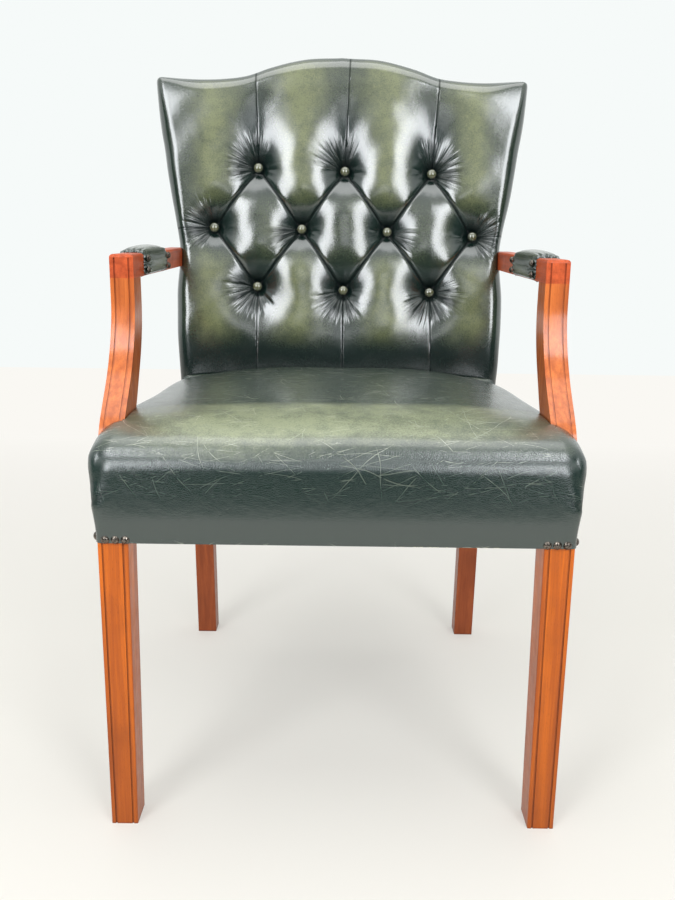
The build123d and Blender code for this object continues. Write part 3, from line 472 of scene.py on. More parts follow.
# where the back's own axes start: behind the legs' faces, and above the floor
LEAN_BACK, LEAN_HEIGHT = 500.0, 404.0
BACK_ORIGIN = np.array((0.0, LEG_FRONT + LEAN_BACK, LEAN_HEIGHT))
BACK_UP = np.array((0.0, math.sin(RAKE), math.cos(RAKE)))
BACK_OUT = np.array((0.0, -math.cos(RAKE), math.sin(RAKE)))


def on_back(x, up, out):
    """Points of the back, from sideways, up the rake and outwards, in millimetres."""
    x, up, out = np.broadcast_arrays(*(np.asarray(part, float) for part in (x, up, out)))
    points = BACK_ORIGIN + up[..., None] * BACK_UP + out[..., None] * BACK_OUT
    points[..., 0] += x
    return points


def smooth_line(points, at):
    """A smooth curve through (place, value) points, read at the given places."""
    places = np.array([p[0] for p in points], float)
    values = np.array([p[1] for p in points], float)
    at = np.clip(at, places[0], places[-1])
    slopes = np.gradient(values, places)
    i = np.clip(np.searchsorted(places, at, side="right") - 1, 0, len(places) - 2)
    gap = places[i + 1] - places[i]
    t = (at - places[i]) / gap
    a, b = values[i], values[i + 1]
    m, n = slopes[i] * gap, slopes[i + 1] * gap
    return (
        a * (2 * t**3 - 3 * t**2 + 1)
        + b * (3 * t**2 - 2 * t**3)
        + m * (t**3 - 2 * t**2 + t)
        + n * (t**3 - t**2)
    )


def ease(value, low, high):
    """0 below low, 1 above high, and smooth between."""
    t = np.clip((value - low) / (high - low), 0.0, 1.0)
    return t * t * (3.0 - 2.0 * t)


print("back leans", round(math.degrees(RAKE), 1), "degrees")

# %% [markdown]
# ## One sheet over a block
#
# Seat and back are both a sheet of leather over a block, so both start as the same thing: a grid
# that covers one face and runs down its four sides, like the lid of a box. The function below
# gives each point's place on that lid as whole numbers: across, along, and how many steps down
# the side. Turning them into a soft shape is then a matter of arithmetic on arrays. A voxel
# remesh would do as well, but it would blur the pleats, which lie only millimetres apart.

# %% The lid grid
def lid_grid(across, along, down):
    """Grid points (i, j, k) of a lid and its quads. k counts steps down the sides."""
    place = {}
    quads = []

    def quad(*corners):
        quads.append(tuple(place.setdefault(corner, len(place)) for corner in corners))

    for j in range(along):
        for i in range(across):
            quad((i, j, 0), (i + 1, j, 0), (i + 1, j + 1, 0), (i, j + 1, 0))
    for k in range(down):
        for j in range(along):
            quad((0, j, k), (0, j + 1, k), (0, j + 1, k + 1), (0, j, k + 1))
            quad((across, j + 1, k), (across, j, k), (across, j, k + 1), (across, j + 1, k + 1))
        for i in range(across):
            quad((i, along, k), (i + 1, along, k), (i + 1, along, k + 1), (i, along, k + 1))
            quad((i + 1, 0, k), (i, 0, k), (i, 0, k + 1), (i + 1, 0, k + 1))
    return np.array(list(place)), quads


print("lid grid of 4 by 3 by 2 has", len(lid_grid(4, 3, 2)[0]), "points")


# %% Meshes and the amounts on them
def paint(mesh, amounts):
    """Keeps amounts on a mesh's points, each a number or a direction."""
    for key, values in amounts.items():
        values = np.asarray(values, dtype=np.float32)
        kind, field = ("FLOAT_VECTOR", "vector") if values.ndim == 2 else ("FLOAT", "value")
        mesh.attributes.new(key, kind, "POINT").data.foreach_set(field, values.ravel())


def add_object(name, data):
    """Puts a mesh, a lamp or a camera into the scene."""
    thing = bpy.data.objects.new(name, data)
    bpy.context.scene.collection.objects.link(thing)
    return thing


def mesh_piece(name, points_mm, faces, material, amounts=None, smooth=True):
    """A mesh object from millimetre points, with its painted amounts."""
    mesh = bpy.data.meshes.new(name)
    mesh.from_pydata((np.asarray(points_mm) / 1000.0).tolist(), [], faces)
    paint(mesh, amounts or {})
    mesh.materials.append(material)
    piece = add_object(name, mesh)
    if smooth:
        mesh.shade_smooth()
    mesh.update()
    return piece


def make_outward(piece):
    """Merges doubles and turns all faces outwards."""
    work = bmesh.new()
    work.from_mesh(piece.data)
    bmesh.ops.remove_doubles(work, verts=work.verts, dist=1e-6)
    bmesh.ops.recalc_face_normals(work, faces=work.faces)
    work.to_mesh(piece.data)
    work.free()


print("mesh helpers ready")

# %% [markdown]
# ## The buttoned back
#
# Deep buttoning works like this: the upholsterer ties each button through stuffing and webbing,
# and the spare leather between buttons is tucked into folded pleats. So the surface is a soft
# plane with three things taken from it: a wide funnel round every button, a gentle swell away
# from every pleat, and a sharp crease along it, steeper on the side that is tucked under. Fans of
# small wrinkles run out from the buttons where the leather was pulled. Each of these is a
# function of the distance to a point or to a line, and their sum is the depth.

# %% Buttons and pleats
BUTTON_ROWS = (
    ((-130.0, 379.5), (6.0, 376.0), (142.5, 373.5)),
    ((-199.0, 287.0), (-61.0, 286.0), (74.0, 283.0), (208.5, 277.5)),
    ((-130.5, 195.5), (5.5, 191.0), (142.5, 189.5)),
)
BUTTONS = sum(BUTTON_ROWS, ())
COLUMN_STEP = 137.0
# pleats join buttons of neighbouring rows that are less than this apart sideways
NEIGHBOUR = 100.0
# heights of the leather's lower edge, its shoulders and its crown, and how far back it reaches
BACK_BOTTOM, SHOULDER, CROWN, BACK_REAR = 20.0, 518.0, 552.0, -33.5
# (height, half of the width) up the sides, and (distance from the middle, rise) over the top
SIDE_LINE = (
    (20.0, 252.0), (60.0, 254.5), (110.0, 257.0), (181.0, 258.0), (251.0, 255.5), (285.0, 260.3),
    (326.0, 266.5), (399.0, 276.5), (466.0, 286.0), (518.0, 290.5), (560.0, 292.0),
)
CROWN_LINE = ((0.0, 34.0), (60.0, 30.0), (113.0, 17.5), (150.0, 5.4), (186.0, 0.0), (300.0, 0.0))


def half_width(up):
    """Half of the back's width at a height."""
    return smooth_line(SIDE_LINE, up)


def top_height(x):
    """The height of the back's top edge at a distance from the middle."""
    return SHOULDER + smooth_line(CROWN_LINE, np.abs(x))


def joined(x):
    """Buttons of the middle row that a button at x has a pleat to."""
    return [other for other in BUTTON_ROWS[1] if abs(other[0] - x) < NEIGHBOUR]


top_row, middle_row, bottom_row = BUTTON_ROWS
pleats = []
# the pleats to the upper and lower edge lean a little sideways
for (x, up), lean in zip(top_row, (-5.0, 7.0, 11.5)):
    pleats.append(((x, up), (x + lean, CROWN + 10.0), "edge"))
    pleats += [((x, up), other, "diamond") for other in joined(x)]
for (x, up), lean in zip(bottom_row, (0.0, 0.0, 6.0)):
    pleats.append(((x, up), (x + lean, -20.0), "edge"))
    pleats += [(other, (x, up), "diamond") for other in joined(x)]
pleats.append((middle_row[0], (-300.0, 282.5), "edge"))
pleats.append((middle_row[-1], (300.0, 279.0), "edge"))
print("buttons:", len(BUTTONS), "pleats:", len(pleats))

# %% Wrinkles that fan out from the buttons
# neighbouring grooves differ in length and depth by these shares
LENGTHS, DEPTHS = (1.0, 0.72, 0.9, 0.64, 0.82), (1.0, 0.7, 0.9)


def fan(row, column, angles, length, depth):
    """Short grooves from a button, at the given angles (0 is right, 90 is up)."""
    x, up = BUTTON_ROWS[row][column]
    grooves = []
    for number, angle in enumerate(angles):
        turn = math.radians(angle)
        reach = length * LENGTHS[number % len(LENGTHS)]
        end = (x + reach * math.cos(turn), up + reach * math.sin(turn))
        grooves.append(((x, up), end, 0.9 * depth * DEPTHS[number % len(DEPTHS)]))
    return grooves


# row, column, angles, length and depth of each fan
FANS = (
    (0, 0, (104, 116, 127, 138, 150, 161, 172, 183, 196), 46.0, 1.5),
    (0, 0, (-8, -22, -34), 34.0, 0.9),
    (0, 1, (103, 112, 124, 170, 182), 52.0, 1.2),
    (0, 1, (-6, -18, -30, 30), 36.0, 1.0),
    (0, 2, (108, 118, 168, 181), 40.0, 1.0),
    (0, 2, (8, 20, 33, 46, -6, -18, -30), 38.0, 1.2),
    (1, 0, (112, 124, 136, 147, 158, 169, 191, 203, 215), 44.0, 1.5),
    (1, 1, (176, 188, -8, -20, -34), 34.0, 0.9),
    (1, 2, (174, 186, 4, -8, -20), 34.0, 0.8),
    (1, 3, (12, 25, 38, 52, -14, -27, -40, 176, 188), 40.0, 1.3),
    (2, 0, (176, 188, 200, 212, 224, 237, 250, -74, -62, -50), 54.0, 1.6),
    (2, 1, (198, 212, 224, 236, 248, -68, -56, -44, -32), 50.0, 1.4),
    (2, 2, (204, 218, 232, 246, -66, -52, -38, -26, -12, 4), 52.0, 1.5),
)
wrinkles = [groove for one in FANS for groove in fan(*one)]
print("wrinkles:", len(wrinkles))

# %% Distances and a soft bell
def along_line(x, up, start, end):
    """Distance to a line, its side (1 is left), the share of the way along, and the length."""
    start, end = np.array(start), np.array(end)
    run = end - start
    length = math.hypot(*run)
    share = ((x - start[0]) * run[0] + (up - start[1]) * run[1]) / length**2
    clipped = np.clip(share, 0.0, 1.0)
    dx = x - (start[0] + clipped * run[0])
    dy = up - (start[1] + clipped * run[1])
    side = np.sign(run[0] * (up - start[1]) - run[1] * (x - start[0]))
    return np.hypot(dx, dy), side, clipped, length


def bell(distance, width):
    """1 at no distance, falling smoothly to nothing at about twice the width."""
    return np.exp(-((distance / width) ** 2))


print("bell at half its width:", round(float(bell(0.5, 1.0)), 2))

# %% Depth of the surface
# depths and widths in millimetres: the funnels, the swells between pleats, and the creases
FUNNEL_DEEP, FUNNEL_WIDE, FUNNEL_FLAT = 22.0, 27.0, 6.0
SWELL_DEEP, CREASE_DEEP, DEEPEST = 3.7, 4.0, 23.0
# a pleat's share of swell, its swell's width, its share of crease and the width of its shade
PLEAT_SORTS = {"diamond": (1.0, 42.0, 1.0, 1.7), "edge": (0.35, 62.0, 0.27, 1.2)}
# the upper funnels reach further up, and the lower ones further down
REACH_UP, REACH_DOWN = 0.42, 0.74


def back_depth(x, up):
    """How far the leather lies below its fullest plane, and the shade painted in its folds, round
    its buttons and low down.
    """
    fold_shade = np.zeros_like(x)
    funnel = np.zeros_like(x)
    for row, places in enumerate(BUTTON_ROWS):
        for bx, by in places:
            rise = up - by
            if row == 0:
                rise = np.where(rise > 0, rise * REACH_UP, rise)
            if row == 2:
                rise = np.where(rise < 0, rise * REACH_DOWN, rise)
            reach = np.sqrt(np.hypot(x - bx, rise) ** 2 + FUNNEL_FLAT**2) - FUNNEL_FLAT
            funnel += np.exp(-3.0 * reach / FUNNEL_WIDE)
            # painted shade round each button, a little above it
            fold_shade = np.maximum(fold_shade, bell(np.hypot(x - bx, up - by - 5.0), 19.0))
    depth = FUNNEL_DEEP * np.cbrt(funnel)
    swell = np.zeros_like(x)
    crease = np.zeros_like(x)
    for start, end, kind in pleats:
        distance, side, share, _ = along_line(x, up, start, end)
        swell_share, spread, crease_share, shade = PLEAT_SORTS[kind]
        if kind == "diamond":
            weight = 1.0
            # the side that is tucked under is steeper
            under = -1.0 if end[1] < start[1] else 1.0
            upper = side * under * np.sign(end[0] - start[0] + 1e-6)
            reach = np.where(upper > 0, 1.3, 2.4)
        else:
            weight = 0.1 + 0.9 * (1.0 - ease(share, 0.0, 0.5))
            reach = 1.3
        rise = swell_share * weight * np.clip(1.0 - distance / spread, 0.0, 1.0) ** 2
        swell = np.maximum(swell, rise)
        profile = (0.3 + 0.7 * weight) * crease_share * np.exp(-distance / reach)
        crease = np.maximum(crease, profile)
        # painted shade along each pleat
        fold_shade = np.maximum(fold_shade, (0.85 + 0.15 * weight) * bell(distance, shade))
    depth += SWELL_DEEP * swell + CREASE_DEEP * crease
    for start, end, strength in wrinkles:
        distance, _, share, length = along_line(x, up, start, end)
        width = 1.3 + 2.4 * share
        fade = ease(share * length, 7.0, 15.0) * (1.0 - ease(share, 0.55, 1.0))
        # a groove with a low bank on either side
        groove = bell(distance, width) - 0.35 * bell(distance, 2.6 * width)
        depth += strength * fade * groove
        # painted shade in each wrinkle
        fold_shade = np.maximum(fold_shade, 0.3 * fade * bell(distance, width))
    depth = np.minimum(depth, DEEPEST)
    # painted shade where the leather turns in above the seat
    fold_shade = np.maximum(fold_shade, 0.5 * (1.0 - ease(up, 70.0, 150.0)))
    uneven = 0.1 * np.sin(x / 7.3 + 1.1) * np.sin(up / 9.1 + 0.3)
    uneven += 0.2 * np.sin(x / 12.7 - up / 13.9 + 2.0)
    return depth + uneven, fold_shade


print("depth at the middle row's buttons:", back_depth(*np.array(middle_row).T)[0].round(1))

# %% Where the leather is drawn to each button
# for each button, the middle of its fan of wrinkles and half of its spread, in degrees
FAN_ANGLES = (
    (140, 75), (115, 60), (40, 85), (165, 80), (200, 30), (-20, 30), (0, 75),
    (215, 75), (250, 70), (-70, 100),
)


def button_spokes(x, up):
    """For each point, the direction away from its nearest button, and how hard it is pulled."""
    nearest = np.full(x.shape, 1e9)
    spoke = np.zeros((len(x), 3))
    pull = np.zeros_like(x)
    for number, ((bx, by), (toward, spread)) in enumerate(zip(BUTTONS, FAN_ANGLES)):
        dx, dy = x - bx, up - by
        far = np.hypot(dx, dy) + 1e-6
        turn = np.degrees(np.arctan2(dy, dx))
        off = np.abs((turn - toward + 180.0) % 360.0 - 180.0)
        strength = 0.08 + 0.92 * (1.0 - ease(off, 0.6 * spread, 1.25 * spread))
        ray = strength * ease(far, 5.0, 13.0) * (1.0 - ease(far, 28.0, 32.0 + 32.0 * strength))
        closer = far < nearest
        nearest = np.where(closer, far, nearest)
        # the third number gives each button's fan a pattern of its own
        away = np.stack((dx / far, dy / far, np.full(x.shape, 3.7 * number)), axis=1)
        spoke[closer] = away[closer]
        pull = np.where(closer, ray, pull)
    return spoke, pull


print("buttons with a fan of wrinkles:", len(FAN_ANGLES))

# %% A grid for the back, with fine steps where the pleats are
def spaced(marks):
    """Places from (start, end, step) stretches, joined."""
    out = []
    for start, end, step in marks:
        count = max(1, round((end - start) / step))
        out += [start + (end - start) * n / count for n in range(count)]
    return np.array(out + [marks[-1][1]])


BACK_FULL = 29.5
fine = 1.5
columns = spaced(((-1.0, -0.8, 0.016), (-0.8, 0.8, fine / 275.0), (0.8, 1.0, 0.016)))
rows = spaced(((0.0, 0.24, 0.008), (0.24, 0.80, fine / 520.0), (0.80, 1.0, 0.006)))
down_steps = 14
grid, quads = lid_grid(len(columns) - 1, len(rows) - 1, down_steps)
s = columns[grid[:, 0]]
t = rows[grid[:, 1]]
down = grid[:, 2] / down_steps
up = BACK_BOTTOM + t * (CROWN - BACK_BOTTOM)
for _ in range(4):
    x = s * half_width(up)
    up = BACK_BOTTOM + t * (top_height(x) - BACK_BOTTOM)
out = BACK_FULL + (BACK_REAR - BACK_FULL) * down

# snap the grid's nearest points onto the pleats, so that every crease is one clean edge
on_front = down == 0
snapped = 0
for start, end, _ in pleats:
    distance, side, share, length = along_line(x, up, start, end)
    normal = np.array((start[1] - end[1], end[0] - start[0])) / length
    move = on_front & (distance < 0.62 * fine) & (share > 0.0) & (share < 1.0)
    x = np.where(move, x - side * distance * normal[0], x)
    up = np.where(move, up - side * distance * normal[1], up)
    snapped += int(move.sum())
print("back grid:", len(grid), "points,", snapped, "of them snapped to pleats")

# %% [markdown]
# Arithmetic also turns the sharp block into a soft one. Think of a smaller block inside it, a
# radius in from every side. Each point finds its nearest place on that smaller block and is set
# a radius away from it, so that flat parts stay flat and edges turn round. The same direction is
# the one in which the leather then sinks by its depth.

# %% Rounding
def rounded(points, core, radius):
    """The direction from a smaller block to each point, and the place a radius away along it."""
    ways = [(p - c) / r for p, c, r in zip(points, core, radius)]
    size = np.sqrt(ways[0] ** 2 + ways[1] ** 2 + ways[2] ** 2)
    # a point inside the smaller block goes straight out
    inside = size < 1e-6
    for axis, straight in enumerate((0.0, 0.0, 1.0)):
        ways[axis] = np.where(inside, straight, ways[axis] / (size + 1e-9))
    return ways, [c + r * way for way, c, r in zip(ways, core, radius)]


print("a corner is turned to", np.round(rounded((1, 1, 1), (0, 0, 0), (1, 1, 1))[0], 2))

# %% Round and sink the back's leather
depth, fold_shade = back_depth(x, up)
wide = half_width(up)
tall = top_height(x)
# the front turns in a little towards the seat, the sides and the top: how deep, and how wide
LOW_TURN, SIDE_TURN, TOP_TURN = 9.0, 0.2, 4.6
LOW_WIDE, SIDE_WIDE, TOP_WIDE = 100.0, 40.0, 48.0
LOW_START = 150.0
turned = LOW_TURN * np.clip((LOW_START - up) / LOW_WIDE, 0.0, 1.0) ** 2
turned += SIDE_TURN * np.clip(1.0 - (wide - np.abs(x)) / SIDE_WIDE, 0.0, 1.0) ** 2
turned += TOP_TURN * np.clip(1.0 - (tall - up) / TOP_WIDE, 0.0, 1.0) ** 2
# edges are rounded by a radius each way, smaller at the top corners
SIDE_RADIUS, TOP_RADIUS, radius_out = 20.0, 24.0, 21.0
radius_x = SIDE_RADIUS - 10.5 * ease(up, 430.0, 508.0)
radius_up = TOP_RADIUS - 14.5 * ease(np.abs(x), 215.0, 282.0)
radius = (radius_x, radius_up, radius_out)
core = (
    np.clip(x, -(wide - radius_x), wide - radius_x),
    np.clip(up, BACK_BOTTOM + radius_up, tall - radius_up),
    np.minimum(out, BACK_FULL - radius_out),
)
(nx, nu, nw), (x_soft, up_soft, out_soft) = rounded((x, up, out), core, radius)
# the leather swells between the front and rear edge of its sides, and draws in at those edges
behind = np.clip((BACK_FULL - out_soft) / (BACK_FULL - BACK_REAR), 0.0, 1.0)
reach = bell(np.maximum(0.0, BACK_FULL - radius_out - out_soft), 16.0)
sink = depth * reach * (1.0 - 0.5 * ease(up, 470.0, 530.0))
swell_side = 1.6 * np.sin(np.pi * behind) - 0.8
ripple = 0.7 * np.sin(x_soft / 61.0 + 1.3) * np.sin(up_soft / 47.0 + 0.4)
ripple += 0.4 * np.sin(up_soft / 23.0 + x_soft / 37.0)
edge = np.clip(np.abs(nx) + np.abs(nu), 0.0, 1.0)
x_soft = x_soft - sink * nx + swell_side * nx * (1 - nw)
up_soft = up_soft - sink * nu + 0.5 * swell_side * nu * (1 - nw)
out_soft = out_soft - sink * nw + ripple * nw - turned * reach
points = on_back(x_soft, up_soft, out_soft)
print("the leather sinks by up to", round(float(sink.max()), 1), "mm")

# %% Rub the back's hide and make the piece
# most on the fullest part of each tuft, less beside the pleats and at the edges
pillow = 1.0 - np.clip((depth - 2.0) / 9.0, 0.0, 1.0)
columns_middle = 0.5 + 0.5 * np.cos(2.0 * np.pi * (x - 70.0) / COLUMN_STEP)
rub = pillow**1.4 * (0.25 + 0.75 * columns_middle) * (1.0 - 0.7 * edge)
rub = rub * (0.03 + 0.97 * ease(up, 90.0, 150.0)) * np.where(down > 0, 0.4, 1.0)
rub = rub * (1.0 - 0.6 * ease(np.abs(x), 205.0, 240.0))
spoke, pull = button_spokes(x, up)
amounts = {"rub": rub, "fold_shade": fold_shade * reach, "spoke": spoke, "pull": pull * reach * (down == 0)}
back_leather = mesh_piece("back_leather", points, quads, back_hide, amounts)
make_outward(back_leather)
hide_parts("back_pad", "back_cover")
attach(back_leather, "root")
print("back leather:", len(points), "points,", len(quads), "quads")

# %% [markdown]
# ## Heads set out by Geometry Nodes
#
# Buttons and nails are the same head many times over. A small mesh of bare points marks their
# places, and each point carries the way its head looks ("facing"). The tree below puts a head on
# every point, turns it to face that way, gives it a size and a spin of its own from a fixed seed,
# and realises the copies, so that the result is a plain mesh. The head is turned on a lathe.

# %% The tree
def heads_tree():
    """A tree that puts a turned and spun copy of a head on every point."""
    tree = bpy.data.node_groups.new("Set heads", "GeometryNodeTree")
    face = tree.interface
    for name, kind in (
        ("Places", "Geometry"),
        ("Head", "Object"),
        ("Size", "Float"),
        ("Size spread", "Float"),
        ("Seed", "Int"),
        ("Finish", "Material"),
    ):
        face.new_socket(name, in_out="INPUT", socket_type="NodeSocket" + kind)
    face.new_socket("Heads", in_out="OUTPUT", socket_type="NodeSocketGeometry")
    given = add_node(tree, "NodeGroupInput", give=None)
    named = {"data_type": "FLOAT_VECTOR"}
    facing = add_node(tree, "GeometryNodeInputNamedAttribute", named, "Attribute", Name="facing")
    turned = add_node(tree, "FunctionNodeAlignRotationToVector", {"axis": "Z"}, Vector=facing)
    number = {"data_type": "FLOAT"}
    seed = given["Seed"]
    twist = add_node(
        tree, "FunctionNodeRandomValue", number, 1, input_2=0.0, input_3=math.tau, Seed=seed
    )
    spun = add_node(tree, "FunctionNodeAxisAngleToRotation", Axis=(0.0, 0.0, 1.0), Angle=twist)
    own = {"rotation_space": "LOCAL"}
    rotation = add_node(tree, "FunctionNodeRotateRotation", own, Rotation=turned, Rotate_By=spun)
    middle, spread = given["Size"], given["Size spread"]
    less = {"operation": "SUBTRACT"}
    least = add_node(tree, MATH, less, input_0=middle, input_1=spread)
    most = add_node(tree, MATH, ADD, input_0=middle, input_1=spread)
    size = add_node(
        tree, "FunctionNodeRandomValue", number, 1, input_2=least, input_3=most, Seed=seed
    )
    head = add_node(tree, "GeometryNodeObjectInfo", give="Geometry", Object=given["Head"])
    points = add_node(tree, "GeometryNodeMeshToPoints", Mesh=given["Places"])
    placed = {"Points": points, "Instance": head, "Rotation": rotation, "Scale": size}
    copies = add_node(tree, "GeometryNodeInstanceOnPoints", **placed)
    real = add_node(tree, "GeometryNodeRealizeInstances", Geometry=copies)
    done = add_node(tree, "GeometryNodeSetMaterial", Geometry=real, Material=given["Finish"])
    add_node(tree, "NodeGroupOutput", give=None, Heads=done)
    return tree


set_heads = heads_tree()
print("the tree has", len(set_heads.nodes), "nodes")


# %% A lathe, and heads in their places
def ring_quads(start, beyond, count):
    """Quads between two rings of points, given the number of each ring's first point."""
    for j in range(count):
        k = (j + 1) % count
        yield (start + j, start + k, beyond + k, beyond + j)


def lathe(name, outline_mm, sides):
    """A turned head: an outline of (radius, height) points, from the rim to the middle."""
    points = []
    faces = []
    for radius, height in outline_mm[:-1]:
        for n in range(sides):
            turn = math.tau * n / sides
            points.append((radius * math.cos(turn), radius * math.sin(turn), height))
    for ring in range(len(outline_mm) - 2):
        faces += ring_quads(ring * sides, (ring + 1) * sides, sides)
    points.append((0.0, 0.0, outline_mm[-1][1]))
    last = (len(outline_mm) - 2) * sides
    for n in range(sides):
        faces.append((last + n, last + (n + 1) % sides, len(points) - 1))
    return mesh_piece(name, points, faces, nail_brass)


def set_out(name, places_mm, facings, head, size, spread, seed, finish):
    """Runs the tree on bare points and keeps the result as a plain mesh."""
    piece = mesh_piece(name, places_mm, [], finish, {"facing": facings}, smooth=False)
    modifier = piece.modifiers.new("heads", "NODES")
    modifier.node_group = set_heads
    values = {"Head": head, "Size": size, "Size spread": spread, "Seed": seed, "Finish": finish}
    for socket in set_heads.interface.items_tree:
        if socket.in_out == "INPUT" and socket.name in values:
            modifier[socket.identifier] = values[socket.name]
    bpy.context.view_layer.update()
    seen = piece.evaluated_get(bpy.context.evaluated_depsgraph_get())
    plain = bpy.data.meshes.new_from_object(seen)
    piece.modifiers.remove(modifier)
    piece.data = plain
    plain.name = name
    plain.shade_smooth()
    print(name, "has", len(places_mm), "heads and", len(plain.polygons), "faces")
    return piece


print("a ring of 12 points has", len(list(ring_quads(0, 12, 12))), "quads to the next")

# %% [markdown]
# ## Covered buttons
#
# Each button is a wooden or metal mould covered with the same hide: a low dome whose edge turns
# under in a soft roll. The dome is rubbed paler, like the tufts around it.

# %% Buttons
BUTTON_OUTLINE = (
    (5.6, -1.6), (6.6, -0.4), (6.9, 0.7), (6.6, 1.9), (5.8, 3.1),
    (4.6, 4.0), (3.1, 4.7), (1.5, 5.1), (0.0, 5.2),
)
BUTTON_OUT = 13.1
button_head = lathe("button_head", BUTTON_OUTLINE, 28)
button_hide = antiqued_hide("antiqued_hide_buttons", "#232a20", "#5b5c3c", 1.0, False, 0.16)
heights = np.array([v.co.z * 1000 for v in button_head.data.vertices])
# rubbed paler on the dome, with painted shade under the rim
rub, fold_shade = np.clip((heights - 1.0) / 4.0, 0, 1), np.clip((1.0 - heights) / 1.6, 0, 0.8)
paint(button_head.data, {"rub": rub, "fold_shade": fold_shade})
places = [on_back(*button, BUTTON_OUT).tolist() for button in BUTTONS]
facings = [BACK_OUT.tolist()] * len(places)
buttons = set_out("covered_buttons", places, facings, button_head, 1.1, 0.02, 3, button_hide)
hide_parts("back_buttons")
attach(buttons, "root")

# %% [markdown]
# ## The crowned seat
#
# The seat is tight leather over stuffing on webbing: an upright band over the rails, a roll that
# swells out above it, and a top that climbs from the front edge to a low, broad crown. It is
# the lid grid again. A profile drawn from front to rear gives the top its crown, then takes it
# down in front of the back's leather and under it. The sides get their roll from a bulge that
# follows the top edge, and the plan rounds more above the band than at it.

# %% The seat's profile and plan
SEAT_BOTTOM = 352.2
BAND_FRONT = -2.0
SEAT_REAR = 536.0
# (distance behind the legs' faces, height) from the front edge over the crown and down behind it
SEAT_PROFILE = (
    (-2.0, 456.0), (8.0, 463.0), (24.0, 470.0), (45.0, 476.0), (70.0, 480.8),
    (105.0, 484.2), (150.0, 486.6), (220.0, 487.6), (300.0, 487.0), (370.0, 485.6),
    (430.0, 482.6), (462.0, 479.0), (474.0, 475.0), (480.0, 467.0), (480.0, 452.0),
    (477.0, 438.0), (474.0, 427.0), (478.0, 418.5), (500.0, 417.5), (536.0, 417.0),
)
# how far the top has dropped at the sides, by the same distance
SIDE_DROP = (
    (-2.0, 0.5), (40.0, 1.0), (70.0, 2.0), (110.0, 6.0), (170.0, 12.0),
    (240.0, 16.5), (330.0, 18.0), (400.0, 20.5), (480.0, 27.0), (540.0, 27.0),
)
FRONT_HALF, REAR_HALF = 264.0, 242.0
# how far back the plan begins to narrow, and over what distance it does
NARROW_FROM, NARROW_OVER = 42.0, 458.0


def plan_half(y):
    """Half of the seat's width at the band."""
    share = np.clip((y - NARROW_FROM) / NARROW_OVER, 0.0, 1.0)
    return FRONT_HALF + share * (REAR_HALF - FRONT_HALF)


profile = np.array(SEAT_PROFILE)
steps = np.concatenate(([0.0], np.cumsum(np.hypot(*np.diff(profile, axis=0).T))))
total = steps[-1]
print("the profile is", round(float(total)), "mm long")

# %% A grid for the seat, and its crown
cross, deep, walls = ((130, 150, 34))
grid, quads = lid_grid(cross, deep, walls)
s = grid[:, 0] / cross * 2.0 - 1.0
t = grid[:, 1] / deep
down = grid[:, 2] / walls
# the steps are a little finer over the middle than at the front edge and behind the back
pace = t + 0.02 * np.sin(2 * np.pi * t)
y = smooth_line(list(zip(steps, profile[:, 0])), pace * total)
top = smooth_line(list(zip(steps, profile[:, 1])), pace * total)
half = plan_half(y)
x = s * half
under_back = ease(y, 470.0, 484.0) * (pace > 0.7)
side_drop = smooth_line(SIDE_DROP, y) * np.abs(s) ** 3.4
crown_wave = 0.9 * np.sin(x / 83.0 + 0.7) * np.sin(y / 71.0 + 0.2)
crown_wave += 0.5 * np.sin(x / 31.0 + y / 43.0)
top = top + (crown_wave - side_drop) * (1.0 - under_back)
z = top + (SEAT_BOTTOM - top) * down
print("seat grid:", len(grid), "points, crown at", round(float(top.max()), 1), "mm")

# %% Round the seat's edges
# as on the back, with one radius upwards, and one in plan that grows above the band
radius_top = 22.0 - 18.0 * under_back
radius_plan = 7.0 + 14.0 * ease(z, 392.0, 425.0)
radius_plan = np.where(under_back > 0.5, 3.0, radius_plan)
radius = (radius_plan, radius_plan, radius_top)
core = (
    np.clip(x, -(half - radius_plan), half - radius_plan),
    np.clip(y, BAND_FRONT + radius_plan, SEAT_REAR - 3.0),
    np.minimum(z, top - radius_top),
)
sharp = (x, np.maximum(y, BAND_FRONT), z)
(nx, ny, nz), (x_soft, y_soft, z_soft) = rounded(sharp, core, radius)
print("seat edges rounded by up to", round(float(radius_plan.max())), "mm in plan")

# %% The roll and the corners' creases
# the stuffing pushes a roll out above the band at the sides, and a lower one at the front
ROLL_SIDE, ROLL_FRONT, ROLL_CORNER = 7.8, 6.0, 1.6
lift = z_soft - (top - 27.0 - 24.0 * ny**2)
roll = (ROLL_SIDE - 3.6 * ny**2) * bell(lift, 26.0 + 10.0 * ny**2) * (1.0 - ny**4)
over_band = z_soft - 386.0
roll += ny**4 * ROLL_FRONT * bell(over_band, np.where(over_band > 0, 58.0, 24.0))
# it also keeps the leather off the sharp corners of the front legs
corner = np.exp(-((np.abs(x_soft) - LEG_SIDE) ** 2 + y_soft**2) / 16.0**2)
roll += ROLL_CORNER * corner * bell(z_soft - 414.0, 24.0)
roll *= 1.0 - ease(y, 474.0, 500.0)
sideways = np.minimum(1.0, 1.4 * (np.sqrt(nx**2 + ny**2) + 1e-9))
x_soft = x_soft + roll * nx * sideways
y_soft = y_soft + roll * ny * sideways

